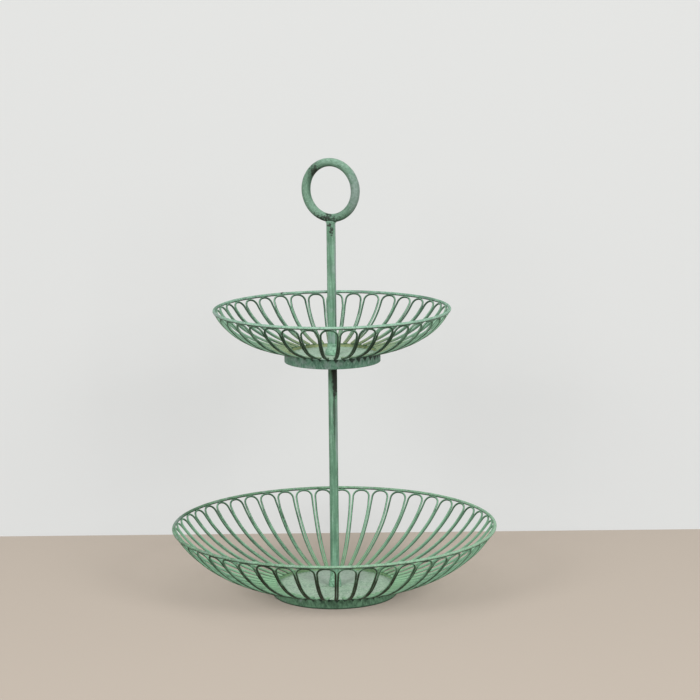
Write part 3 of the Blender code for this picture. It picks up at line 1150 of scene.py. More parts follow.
@dataclass(frozen=True)
class BandPatina(Patina):
    """The paint on a band: light inside, with a dark wedge outside under each pair of legs, which is a
    painted shadow of the legs.
    """

    feet: int = 50
    first_foot_turn: float = 0.0
    top: float = 0.0
    sole: float = 0.0
    reach: float = 0.1
    inside: Colour = colour(128, 160, 118)
    # Colour of the painted shadows that the legs cast on the band.
    shadow: Colour = colour(30, 46, 37)
    wedge_depth: float = 5.0 * MM
    wedge_strength: float = 0.95
    wedge_side: float = 0.0
    wedge_rags: float = 1.4
    wedge_narrowing: float = 2.4
    wedge_edge: Span = (0.0, 0.5)
    foot_rags: float = 0.5
    foot_offset: float = 0.12
    outside: Span = (0.2, 0.7)
    under_edge: Span = (-0.6, 0.0)
    inner_wall: Span = (-0.2, -0.7)
    inner_rags: Span = (0.30, 0.50)
    # Height of the dark lower edge: painted contact shade, and partly a worn edge.
    sole_edge: float = 0.0
    sole_strength: float = 0.9

    def special(self, paint: Paint, smear: Signal, tone: Signal) -> Signal:
        """Add the light tint inside, the wedges that are painted shadows of the legs, and the dark lower
        edge, which is painted contact shade and partly a worn edge.

        Args:
            paint: The material's tree.
            smear: Noise that breaks up the edges.
            tone: The tone so far.

        Returns:
            The finished tone.
        """
        x, y, z = paint.split(paint.place)
        out = paint.outwards()
        turn = paint.maths("ARCTAN2", x, -y)
        foot = (turn - hand_set(turn) - self.first_foot_turn) * (self.feet / FULL_TURN)
        foot = foot + smear.swing(self.foot_rags) - self.foot_offset
        off_foot = abs((foot + (self.feet + 0.5)).fraction() - 0.5)
        # The wedges are painted shadows of the legs, stronger towards the right by wedge_side.
        below = (self.top - z) / self.wedge_depth
        rags = paint.cloud(paint.place, WEDGE_RAGS, self.seed).swing(self.wedge_rags)
        wedge = 1.0 - off_foot * self.wedge_narrowing - below + rags + x / self.reach * self.wedge_side
        wedge = wedge.rise(*self.wedge_edge) * self.wedge_strength * out.rise(*self.outside)
        tone = paint.mix(wedge, tone, self.shadow)
        # Dark lower edge: painted contact shade, and partly a worn edge.
        if self.sole_edge > 0.0:
            contact_shade_and_wear = (z - self.sole + smear.swing(-self.sole_edge)).rise(self.sole_edge, 0.0)
            contact_shade_and_wear = contact_shade_and_wear * out.rise(*self.under_edge) * self.sole_strength
            tone = paint.mix(contact_shade_and_wear, tone, self.bare)
        lit = out.rise(*self.inner_wall) * smear.rise(*self.inner_rags)
        return paint.mix(lit, tone, self.inside)


@dataclass(frozen=True)
class Zinc:
    """Zinc plate on the screws, stud and washers."""

    name: str
    tone: Colour = colour(176, 176, 170)
    dull: Colour = colour(128, 130, 128)
    roughness: float = 0.34
    roughness_range: float = 0.22
    lathe_share: float = 0.3
    bright_span: Span = (0.35, 0.62)
    bump: float = 0.25
    bump_depth: float = 0.05 * MM
    spangle_relief: float = 0.4

    def make(self) -> bpy.types.Material:
        """Build the material.

        Returns:
            The material, with a Principled shader.
        """
        paint = Paint(self.name)
        x, y, z = paint.split(paint.place)
        ring = paint.vector("LENGTH", paint.join(x, y, 0.0))
        lathe = paint.cloud(paint.join(ring, z, 0.0), LATHE_LINES, 0.0)
        spangle = paint.cloud(paint.place, SPANGLES, 0.0)
        tone = spangle.with_some(lathe, self.lathe_share).rise(*self.bright_span)
        height = lathe + spangle * self.spangle_relief
        return paint.finish_surface((self.bump, self.bump_depth, height), Metallic=1.0,
                                    Base_Color=paint.mix(tone, self.dull, self.tone),
                                    Roughness=spangle.swing(self.roughness_range) + self.roughness)


def reach_of(node: str) -> float:
    """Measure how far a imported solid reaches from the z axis."""
    return max(math.hypot(vert.co.x, vert.co.y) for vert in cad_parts[node].data.vertices)


class Tier(Enum):
    """The two bowls, by the start of their solids' names."""

    LOWER = "lower_tray"
    UPPER = "upper_tray"


@dataclass
class WireBowl:
    """One bowl: a rim hoop, an endless wire of loops, their welds, a band and its plate."""

    tier: Tier
    rim_slope: float
    foot_slope: float
    first_loop_turn: float
    rim_weld_turn: float
    rim_finish: Patina
    wire_finish: Patina
    band_finish: BandPatina
    plate_finish: Patina
    seam_finish: Patina
    seed: int
    leg_spread: float
    rim_wire: float = 4.0 * MM
    loop_wire: float = 2.3 * MM
    fit_gap: float = 0.3 * MM
    paint_coat: float = 0.08 * MM
    foot_reach: float = 3.0 * MM
    crown_sink: float = 0.4 * MM
    crown_gap: float = 0.55 * MM
    keep_inside: float = 0.20 * MM
    band_wall: float = 1.5 * MM
    band_rounding: float = 0.45 * MM
    band_dent: float = 0.25 * MM
    plate_thickness: float = 1.5 * MM
    plate_rounding: float = 0.25 * MM
    plate_dent: float = 0.22 * MM
    finest_run: float = 2.5 * MM

    def __post_init__(self) -> None:
        """Take the bowl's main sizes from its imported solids."""
        name = self.tier.value
        self.pairs = sorted(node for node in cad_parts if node.startswith(name + "_loop_pair"))
        self.loops = 2 * len(self.pairs)
        low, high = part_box(name + "_rim")
        self.rim_radius = reach_of(name + "_rim") - self.keep_inside - self.rim_wire / 2
        self.rim_height = (low.z + high.z) / 2
        low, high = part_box(name + "_band")
        self.band_bottom, self.band_top = low.z, high.z
        self.band_radius = reach_of(name + "_band")
        self.band_inside = self.band_radius - self.band_wall
        self.plate_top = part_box(name + "_plate")[1].z
        self.first_foot_turn = self.first_loop_turn + math.pi / self.loops

    @property
    def crown(self) -> Vector:
        """Where a crown's wire touches the rim.

        Returns:
            The wire's middle as (radius, height).
        """
        seat = (self.rim_wire + self.loop_wire) / 2 - self.crown_sink
        slope = Vector((math.cos(self.rim_slope), math.sin(self.rim_slope)))
        return Vector((self.rim_radius, self.rim_height)) - seat * slope

    @property
    def foot(self) -> Vector:
        """Where the wire ends inside the band.

        Returns:
            The wire's middle as (radius, height).
        """
        seat = (self.loop_wire / 2 + self.fit_gap) / math.cos(self.foot_slope)
        over_band = Vector((self.band_inside, self.band_top + seat))
        return over_band - self.foot_reach * Vector((1.0, math.tan(self.foot_slope)))

    @property
    def belly(self) -> Vector:
        """Where the slopes at the rim and at the foot meet, which sets the bend of the side.

        Returns:
            The point as (radius, height).
        """
        down = Vector((-math.cos(self.rim_slope), -math.sin(self.rim_slope)))
        outward = Vector((math.cos(self.foot_slope), math.sin(self.foot_slope)))
        reach = (self.crown - self.foot).cross(down) / outward.cross(down)
        return self.foot + reach * outward

    def build(self, wire: Recipe, hoop: Recipe, beads: Recipe) -> None:
        """Make every piece of the bowl.

        Args:
            wire: Tree for the endless wire.
            hoop: Tree for hoops.
            beads: Tree for rows of welds.
        """
        self.build_rim(hoop)
        self.build_loops(wire)
        self.build_welds(beads)
        self.build_band()
        self.build_plate()
        self.build_seam(hoop)

    def build_rim(self, hoop: Recipe) -> None:
        """Make the rim hoop with its butt weld.

        Args:
            hoop: Tree for hoops.
        """
        name = self.tier.value + "_rim"
        mesh = hoop.cast(name + "_hoop", self.rim_finish.make(), Radius=self.rim_radius,
                         Height=self.rim_height, Bar_Diameter=self.rim_wire, Segments=360, Sides=20,
                         Unevenness=0.05, Grain=90.0, Weld_Turn=self.rim_weld_turn, Weld_Swell=0.16,
                         Weld_Reach=3.2 * MM, Seed=self.seed)
        place_piece(mesh, "rim_paint", name)

    def build_loops(self, wire: Recipe) -> None:
        """Make the side of the bowl from one endless bent wire.

        Args:
            wire: Tree for the endless wire.
        """
        half_step = math.pi / self.loops
        half_pitch = self.loop_wire / 2 + self.paint_coat
        crown, belly, foot = self.crown, self.belly, self.foot
        bend = (crown.x * half_step - half_pitch) / (1.0 + half_step * math.cos(self.rim_slope))
        mesh = wire.cast(self.tier.value + "_loops", self.wire_finish.make(), Crown_Radius=crown.x,
                         Crown_Height=crown.y, Belly_Radius=belly.x, Belly_Height=belly.y,
                         Foot_Radius=foot.x, Foot_Height=foot.y, Loops=self.loops, Stations=60, Sides=12,
                         Wire_Diameter=2.0 * half_pitch, Half_Pitch=half_pitch,
                         Bend_Radius=bend, Bend_Share=0.34, Foot_Share=0.10, Squareness=0.88,
                         Crown_Gap=self.crown_gap, Meet_Share=0.13, First_Turn=self.first_loop_turn,
                         Spread=self.leg_spread, Wander=1.8 * MM, Seed=self.seed)
        place_piece(mesh, "loop_paint", *self.pairs)

    def build_welds(self, beads: Recipe) -> None:
        """Make the welds that hold each crown to the rim and each pair of legs to the band.

        Args:
            beads: Tree for rows of welds.
        """
        name = self.tier.value
        rim_contact = (self.crown + Vector((self.rim_radius, self.rim_height))) / 2
        mesh = beads.cast(name + "_crown_welds", self.rim_finish.make(), Count=self.loops,
                          Radius=rim_contact.x, Height=rim_contact.y, First_Turn=self.first_loop_turn,
                          Width=5.6 * MM, Depth=2.0 * MM, Thickness=2.6 * MM,
                          Tilt=self.rim_slope - QUARTER_TURN, Size_Range=0.35, Lumps=0.5 * MM,
                          Seed=self.seed)
        place_piece(mesh, "rim_paint")
        mesh = beads.cast(name + "_foot_welds", self.wire_finish.make(), Count=self.loops,
                          Radius=self.band_radius - self.band_wall / 2, Height=self.band_top,
                          First_Turn=self.first_foot_turn, Width=5.2 * MM, Depth=1.9 * MM,
                          Thickness=1.9 * MM, Size_Range=0.3, Lumps=0.5 * MM, Seed=self.seed + 1)
        place_piece(mesh, "loop_paint")

    def build_band(self) -> None:
        """Make the flat band, with its edges filed round."""
        name = self.tier.value + "_band"
        outline = tube(self.band_inside, self.band_radius, self.band_bottom, self.band_top,
                       self.band_rounding)
        finish = replace(self.band_finish, feet=self.loops, top=self.band_top, sole=self.band_bottom,
                         reach=self.band_radius, first_foot_turn=self.first_foot_turn)
        mesh = turned(name + "_strip", subdivided(outline, self.finest_run), segments=240,
                      ends=Ends.JOINED, finish=finish.make(),
                      wobble=hand_made(self.band_dent, wave=14.0 * MM, seed=self.seed))
        place_piece(mesh, "band_paint", name)

    def build_plate(self) -> None:
        """Make the round plate that closes the band."""
        name = self.tier.value + "_plate"
        outline = tube(BORE_RADIUS, self.band_inside - self.fit_gap,
                       self.plate_top - self.plate_thickness, self.plate_top, self.plate_rounding)
        mesh = turned(name + "_disc", subdivided(outline, self.finest_run), segments=160,
                      ends=Ends.JOINED, finish=self.plate_finish.make(),
                      wobble=hand_made(self.plate_dent, wave=16.0 * MM, seed=self.seed, flat=True))
        place_piece(mesh, "plate_paint", name)

    def build_seam(self, hoop: Recipe) -> None:
        """Make the weld seam between the plate's edge and the band.

        Args:
            hoop: Tree for hoops.
        """
        mesh = hoop.cast(self.tier.value + "_plate_seam", self.seam_finish.make(),
                         Radius=self.band_inside - 0.4 * MM, Height=self.plate_top + 0.1 * MM,
                         Bar_Diameter=1.7 * MM, Segments=300, Sides=10, Unevenness=0.7, Grain=190.0,
                         Weld_Turn=math.pi, Weld_Swell=0.2, Weld_Reach=6.0 * MM, Seed=self.seed + 2)
        place_piece(mesh, "plate_paint")


@dataclass
class RodStand:
    """The rod in two halves, its flared ferrules and the carrying ring with its weld."""

    ring_turn: float
    rod_finish: Patina
    lower_rod_finish: Patina
    ferrule_finish: Patina
    ring_finish: Patina
    weld_finish: Patina
    ring_bar: float = 10.6 * MM
    tapped_depth: float = 18.0 * MM
    rod_rounding: float = 0.3 * MM
    rod_dent: float = 0.10 * MM
    finest_run: float = 3.0 * MM
    ferrule_fit: float = 0.1 * MM
    ferrule_lip: float = 0.5 * MM
    ferrule_dent: float = 0.35 * MM
    flare_from: float = 0.25
    flare_full: float = 0.82
    flare_steps: int = 16
    collar_size: Place = (1.14, 0.98, 0.46)
    collar_lumps: float = 0.14
    collar_grain: float = 1.7 * MM
    collar_octaves: int = 3
    collar_lift: float = 0.4 * MM

    def __post_init__(self) -> None:
        """Take the ring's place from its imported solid."""
        low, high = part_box("ring_handle")
        self.ring_outer = (high.z - low.z) / 2
        self.ring_height = (high.z + low.z) / 2
        self.ring_underside = low.z

    def build(self, hoop: Recipe, beads: Recipe) -> None:
        """Make every piece of the stand.

        Args:
            hoop: Tree for hoops.
            beads: Tree for rows of welds.
        """
        self.build_rod("upper_rod", self.rod_finish, False)
        self.build_rod("lower_rod", self.lower_rod_finish, True)
        self.build_ferrule("upper_rod_ferrule")
        self.build_ferrule("lower_rod_ferrule")
        self.build_ring(hoop)
        self.build_ring_weld(beads)

    def build_rod(self, node: str, finish: Patina, tapped_above: bool) -> None:
        """Make one half of the rod.

        Args:
            node: The solid that it stands for.
            finish: Its paint.
            tapped_above: True where the stud also enters its upper end.
        """
        low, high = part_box(node)
        radius = reach_of(node)
        floor, ceiling = low.z + self.tapped_depth, high.z - self.tapped_depth
        outline = [(0.0, floor), (BORE_RADIUS, floor), (BORE_RADIUS, low.z), (radius, low.z),
                   (radius, high.z)]
        if tapped_above:
            outline += [(BORE_RADIUS, high.z), (BORE_RADIUS, ceiling), (0.0, ceiling)]
        else:
            outline.append((0.0, high.z))
        outline = softened(outline, self.rod_rounding, closed=False)
        mesh = turned(node + "_bar", subdivided(outline, self.finest_run), segments=40,
                      ends=Ends.CAPPED, finish=finish.make(),
                      wobble=hand_made(self.rod_dent, wave=9.0 * MM, seed=radius / MM))
        place_piece(mesh, "rod_paint", node)

    def build_ferrule(self, node: str) -> None:
        """Make a ferrule, which widens like a small bell towards the plate that it stands on.

        Args:
            node: The solid that it stands for.
        """
        low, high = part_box(node)
        bore = reach_of("upper_rod") + self.ferrule_fit
        lip = bore + self.ferrule_lip
        mouth = reach_of(node)
        outline = [(bore, low.z), (bore, high.z), (lip, high.z)]
        for step in range(1, self.flare_steps + 1):
            drop = step / self.flare_steps
            share = min(max((drop - self.flare_from) / (self.flare_full - self.flare_from), 0.0), 1.0)
            spread = share * share * (3.0 - 2.0 * share)
            outline.append((lip + (mouth - lip) * spread, high.z - (high.z - low.z) * drop))
        mesh = turned(node + "_flare", outline, segments=64, ends=Ends.JOINED,
                      finish=self.ferrule_finish.make(),
                      wobble=hand_made(self.ferrule_dent, wave=5.0 * MM, seed=mouth / MM))
        place_piece(mesh, "rod_paint", node)

    def build_ring(self, hoop: Recipe) -> None:
        """Make the carrying ring: a hoop of bar, stood up over the rod.

        Args:
            hoop: Tree for hoops.
        """
        mesh = hoop.cast("carrying_ring", self.ring_finish.make(),
                         Radius=self.ring_outer - self.ring_bar / 2, Bar_Diameter=self.ring_bar,
                         Segments=220, Sides=40, Unevenness=0.08, Grain=60.0, Weld_Reach=5.0 * MM,
                         Side_Swell=0.08, Seed=4)
        upright = Matrix.Rotation(self.ring_turn, 4, "Z") @ Matrix.Rotation(QUARTER_TURN, 4, "X")
        mesh.transform(Matrix.Translation((0.0, 0.0, self.ring_height)) @ upright)
        place_piece(mesh, "ring_paint", "ring_handle")

    def build_ring_weld(self, beads: Recipe) -> None:
        """Make the lumpy weld between the ring and the rod: a rough collar and beads round it.

        Args:
            beads: Tree for rows of welds.
        """
        rod = reach_of("upper_rod")
        bm = bmesh.new()
        bmesh.ops.create_icosphere(bm, subdivisions=5, radius=1.0)
        bmesh.ops.scale(bm, vec=Vector(self.collar_size) * rod, verts=bm.verts)
        bmesh.ops.transform(bm, matrix=Matrix.Rotation(self.ring_turn, 4, "Z"), verts=bm.verts)
        for vert in bm.verts:
            lump = noise.fractal(vert.co / self.collar_grain, 0.6, 2.0, self.collar_octaves)
            vert.co *= 1.0 + self.collar_lumps * lump
            vert.co.z += self.ring_underside + self.collar_lift
        mesh = mesh_from(bm, "ring_weld_collar", self.weld_finish.make())
        mesh.shade_smooth()
        place_piece(mesh, "ring_paint")
        mesh = beads.cast("ring_weld_beads", self.weld_finish.make(), Count=13, Radius=rod * 0.80,
                          Height=self.ring_underside + 0.8 * MM, First_Turn=0.3, Width=3.4 * MM,
                          Depth=2.6 * MM, Thickness=2.8 * MM, Tilt=-0.5, Size_Range=0.5, Lumps=1.1 * MM,
                          Seed=9)
        place_piece(mesh, "ring_paint")


@dataclass
class Hardware:
    """The stud, screw and washers that hold the rod and the bowls together."""

    finish: Zinc
    pitch: float = 1.0 * MM
    thread_depth: float = 0.55 * MM
    chamfer: float = 0.7 * MM
    shank_radius: float = 3.0 * MM
    rows_to_a_turn: int = 6
    washer_rounding: float = 0.25 * MM
    head_gap: float = 0.3 * MM
    head_rounding: float = 2.2 * MM
    head_steps: int = 8
    shank_overlap: float = 0.2 * MM
    recess_arm: float = 5.2 * MM
    recess_width: float = 1.0 * MM
    recess_depth: float = 1.9 * MM
    recess_taper: float = 0.45
    recess_turn: float = 0.4

    def build(self) -> None:
        """Make the stud, the screw and both washers."""
        zinc = self.finish.make()
        low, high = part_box("joining_stud")
        mesh = self.threaded("joining_stud_threaded", low.z, high.z, zinc)
        place_piece(mesh, "zinc_hardware", "joining_stud")
        self.build_screw(zinc)
        for node in ("base_washer", "upper_tray_washer"):
            low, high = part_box(node)
            outline = tube(BORE_RADIUS, reach_of(node), low.z, high.z, self.washer_rounding)
            mesh = turned(node + "_disc", outline, segments=56, ends=Ends.JOINED, finish=zinc)
            place_piece(mesh, "zinc_hardware", node)

    def threaded(self, name: str, bottom: float, top: float, zinc: bpy.types.Material) -> bpy.types.Mesh:
        """Make a threaded shank: each row of points follows the thread's climb.

        Args:
            name: Name of the mesh.
            bottom: Height of its lower end.
            top: Height of its upper end.
            zinc: Its material.

        Returns:
            The mesh.
        """
        rows = math.ceil((top - bottom) / self.pitch * self.rows_to_a_turn)

        def thread(point: Vector, ray: Vector) -> Vector:
            """Cut the thread, and the chamfers at both ends.

            Args:
                point: A point on the plain shank.
                ray: Its ray away from the axis.

            Returns:
                The shift of the point.
            """
            climb = (point.z - bottom) / self.pitch - math.atan2(ray.x, -ray.y) / FULL_TURN
            groove = 1.0 - abs((climb % 1.0) * 2.0 - 1.0)
            off_end = min(point.z - bottom, top - point.z)
            return -ray * max(self.thread_depth * groove, self.chamfer - off_end)

        outline = [(0.0, bottom)]
        outline += [(self.shank_radius, bottom + (top - bottom) * row / rows) for row in range(rows + 1)]
        outline.append((0.0, top))
        return turned(name, outline, segments=24, ends=Ends.CAPPED, finish=zinc, wobble=thread)

    def build_screw(self, zinc: bpy.types.Material) -> None:
        """Make the pan-head screw under the lower plate, with its cross recess and thread.

        Args:
            zinc: Its material.
        """
        low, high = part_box("base_screw")
        head_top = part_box("base_washer")[0].z - self.head_gap
        head = reach_of("base_screw")
        middle = head - self.head_rounding
        outline = [(0.0, low.z)]
        for step in range(self.head_steps + 1):
            turn = QUARTER_TURN * step / self.head_steps
            outline.append((middle + self.head_rounding * math.sin(turn),
                            low.z + self.head_rounding * (1.0 - math.cos(turn))))
        outline += [(head, head_top), (0.0, head_top)]
        cap = turned("screw_head", outline, segments=48, ends=Ends.CAPPED, finish=zinc)
        bm = bmesh.new()
        bm.from_mesh(self.recessed(cap, low.z))
        bm.from_mesh(self.threaded("screw_shank", head_top - self.shank_overlap, high.z, zinc))
        mesh = mesh_from(bm, "base_screw_pan_head", zinc)
        mesh.set_sharp_from_angle(angle=SMOOTH_ANGLE)
        place_piece(mesh, "zinc_hardware", "base_screw")

    def recessed(self, cap: bpy.types.Mesh, face: float) -> bpy.types.Mesh:
        """Cut the driver's cross out of a screw head.

        Args:
            cap: The plain head.
            face: Height of its lower face.

        Returns:
            The head with its recess.
        """
        blade_size = (self.recess_arm, self.recess_width, 2.0 * self.recess_depth)
        bm = bmesh.new()
        for turn in (self.recess_turn, self.recess_turn + QUARTER_TURN):
            blade = bmesh.ops.create_cube(bm, size=1.0)["verts"]
            bmesh.ops.scale(bm, vec=blade_size, verts=blade)
            for vert in blade:
                if vert.co.z > 0.0:
                    vert.co.x *= self.recess_taper
            bmesh.ops.rotate(bm, matrix=Matrix.Rotation(turn, 3, "Z"), verts=blade)
            bmesh.ops.translate(bm, vec=(0.0, 0.0, face), verts=blade)
        tool_mesh = bpy.data.meshes.new("driver_cross")
        bm.to_mesh(tool_mesh)
        bm.free()
        tool = bpy.data.objects.new("driver_cross", tool_mesh)
        head = bpy.data.objects.new("screw_head", cap)
        for helper in (tool, head):
            bpy.context.scene.collection.objects.link(helper)
        cut = head.modifiers.new("recess", "BOOLEAN")
        cut.object = tool
        cut.operation = "DIFFERENCE"
        cut.solver = "EXACT"
        cut.use_self = True
        evaluated = head.evaluated_get(bpy.context.evaluated_depsgraph_get())
        mesh = bpy.data.meshes.new_from_object(evaluated)
        for helper in (tool, head):
            bpy.data.objects.remove(helper)
        return mesh


@dataclass(frozen=True)
class Backdrop:
    """A plain surface of the studio, seen from its front side only."""

    name: str
    tone: Colour
    corners: tuple[Place, ...]
    glow: float
    brightness: float = 1.04
    roughness: float = 0.9

    def build(self) -> None:
        """Make the surface, which lets through whatever comes from behind it."""
        mesh = bpy.data.meshes.new(self.name)
        mesh.from_pydata(self.corners, [], [tuple(range(len(self.corners)))])
        surface = bpy.data.objects.new(self.name, mesh)
        bpy.context.scene.collection.objects.link(surface)
        paint = Paint(self.name)
        matt = paint.out("ShaderNodeBsdfDiffuse", None,
                         {"Color": self.tone, "Roughness": self.roughness})
        shine = paint.out("ShaderNodeEmission", None,
                          {"Color": self.tone, "Strength": self.brightness})
        matt = paint.out("ShaderNodeMixShader", None, {0: self.glow, 1: matt, 2: shine})
        clear = paint.out("ShaderNodeBsdfTransparent")
        behind = paint.out("ShaderNodeNewGeometry", None, None, "Backfacing")
        mesh.materials.append(paint.finish(paint.out("ShaderNodeMixShader", None,
                                                     {0: behind, 1: matt, 2: clear})))


@dataclass(frozen=True)
class SoftLight:
    """A square studio light that looks at a point on the rod."""

    name: str
    place: Place
    aim: Place
    size: float
    power: float
    tone: Colour = (1.0, 1.0, 1.0)

    def build(self) -> None:
        """Hang the light."""
        data = bpy.data.lights.new(self.name, "AREA")
        data.shape = "SQUARE"
        data.size = self.size
        data.energy = self.power
        data.color = self.tone
        light = bpy.data.objects.new(self.name, data)
        light.location = self.place
        light.rotation_mode = "QUATERNION"
        light.rotation_quaternion = (Vector(self.aim) - Vector(self.place)).to_track_quat("-Z", "Y")
        light.visible_camera = False
        bpy.context.scene.collection.objects.link(light)


@dataclass(frozen=True)
class Studio:
    """The floor, the wall, the lights and the camera at the photograph's viewing angle."""

    camera_place: Place = (0.0217, -2.7946, 0.8000)
    camera_pitch: float = 0.1745
    camera_roll: float = -0.0104
    focal_length: float = 118.68
    sensor_width: float = 36.0
    wall_behind: float = 0.293
    floor_half: float = 5.0
    wall_height: float = 3.0
    floor_tone: Colour = colour(171, 161, 150)
    floor_glow: float = 0.2
    wall_tone: Colour = colour(220, 221, 220)
    wall_glow: float = 0.6
    air_tone: Colour = (1.0, 1.0, 1.0)
    air_light: float = 0.46
    lights: tuple[SoftLight, ...] = (
        SoftLight("left_softbox", (-1.90, -2.50, 1.70), (0.0, 0.0, 0.22), 1.2, 58.0),
        SoftLight("right_softbox", (1.80, -2.40, 1.60), (0.0, 0.0, 0.22), 1.2, 60.0),
        SoftLight("overhead_light", (-0.10, -0.60, 3.00), (0.0, 0.0, 0.22), 1.4, 16.0),
    )

    def build(self) -> None:
        """Set up the studio."""
        reach, back, top = self.floor_half, self.wall_behind, self.wall_height
        Backdrop("pale_floor", self.floor_tone,
                 ((-reach, -reach, 0.0), (reach, -reach, 0.0), (reach, back, 0.0), (-reach, back, 0.0)),
                 self.floor_glow).build()
        Backdrop("pale_wall", self.wall_tone,
                 ((-reach, back, 0.0), (reach, back, 0.0), (reach, back, top), (-reach, back, top)),
                 self.wall_glow).build()
        for light in self.lights:
            light.build()
        world = bpy.data.worlds.new("studio_air")
        world.use_nodes = True
        air = world.node_tree.nodes["Background"]
        air.inputs["Color"].default_value = (*self.air_tone, 1.0)
        air.inputs["Strength"].default_value = self.air_light
        bpy.context.scene.world = world
        bpy.context.scene.view_settings.view_transform = "Standard"
        self.build_camera()

    def build_camera(self) -> None:
        """Place the camera by its pitch below the horizon and its roll."""
        ahead = Vector((0.0, math.cos(self.camera_pitch), -math.sin(self.camera_pitch)))
        level = Vector((1.0, 0.0, 0.0))
        above = level.cross(ahead)
        right = math.cos(self.camera_roll) * level + math.sin(self.camera_roll) * above
        over = math.cos(self.camera_roll) * above - math.sin(self.camera_roll) * level
        data = bpy.data.cameras.new("camera")
        data.lens = self.focal_length
        data.sensor_width = self.sensor_width
        camera = bpy.data.objects.new("camera", data)
        turn = Matrix((right, over, -ahead)).transposed().to_4x4()
        camera.matrix_world = Matrix.Translation(self.camera_place) @ turn
        bpy.context.scene.collection.objects.link(camera)
        bpy.context.scene.camera = camera


def lower_bowl() -> WireBowl:
    """Describe the lower bowl: its bends, welds and finishes.

    Returns:
        The bowl, ready to be built.
    """
    return WireBowl(
        tier=Tier.LOWER,
        rim_slope=math.radians(58.0),
        foot_slope=math.radians(9.5),
        first_loop_turn=math.radians(4.0),
        rim_weld_turn=math.radians(141.0),
        # The right side is painted lighter, painted light, and the underside darker, painted shade.
        rim_finish=Patina("lower_rim_patina", Grain.ROUND_THE_HOOP, body=colour(108, 148, 116),
                          deep=colour(70, 104, 78), mint=colour(148, 185, 157), mint_cover=0.53,
                          rub_up=0.02, rub_out=0.03, right_side_light=0.20, dark_below=0.90, under_from=-0.05,
                          under_full=-0.50, crispness=2.4, patch_size=0.7, seed=2.0,
                          hub=(0.0, 0.0, 0.0863), hub_radius=0.2, marks=(
                              Mark((-0.1880, 0.0640, 0.0878), (0.0140, 0.034, 0.0030), 0.8, Layer.DEEP,
                                   9.0),
                              Mark((-0.1970, 0.0250, 0.0863), (0.0080, 0.036, 0.0050), 0.6, Layer.COOL,
                                   7.0),
                          )),
        # The right side is painted lighter: painted light.
        wire_finish=WirePatina("lower_wire_patina", mint=colour(134, 180, 148),
                               bare=colour(40, 48, 30), mint_cover=0.65, edge_dark=0.88,
                               cool_cover=0.05, right_side_light=0.30, tint=colour(136, 174, 130),
                               foot_tint=0.45, seed=5.0, marks=(
                                   # Dark patches at the back left and right: painted shade of the band's
                                   # inner wall seen between the feet.
                                   Mark((-0.0640, 0.0510, 0.0150), (0.0110, 0.016, 0.0080), 0.65),
                                   Mark((0.0708, 0.0401, 0.0150), (0.0080, 0.014, 0.0090), 0.60),
                               )),
        # Wedges: painted shadows of the legs; sole edge: painted contact shade, partly wear.
        band_finish=BandPatina("lower_band_patina", Grain.DOWN_THE_BAND, body=colour(108, 152, 120),
                               deep=colour(76, 110, 86), mint=colour(130, 166, 138), mint_cover=0.36,
                               cool_cover=0.12, sole_edge=2.5 * MM, wedge_side=0.3, crispness=1.4,
                               seed=8.0),
        plate_finish=Patina("lower_plate_patina", body=colour(149, 173, 151), deep=colour(122, 150, 128),
                            mint=colour(168, 194, 170), cool=colour(154, 165, 157),
                            tint=colour(168, 164, 140), cool_cover=0.30, tint_cover=0.22,
                            bare_cover=-0.25, dark_below=0.3, roughness=0.78, seed=13.0, marks=(
                                # Painted shadow of the ferrule on the plate, left of the rod.
                                Mark((-0.0130, -0.0020, 0.0085), (0.0070, 0.0024, 0.0040), 0.45),
                                # Painted shadow of the upper bowl over the plate's back half.
                                Mark((0.0000, 0.0420, 0.0080), (0.0560, 0.050, 0.0200), 0.5, Layer.COOL,
                                     1.5),
                            )),
        seam_finish=Patina("lower_seam_patina", body=colour(124, 162, 122), deep=colour(98, 136, 96),
                           mint=colour(144, 180, 138), bare_cover=0.0, seed=15.0),
        seed=3,
        leg_spread=0.50 * MM,
    )


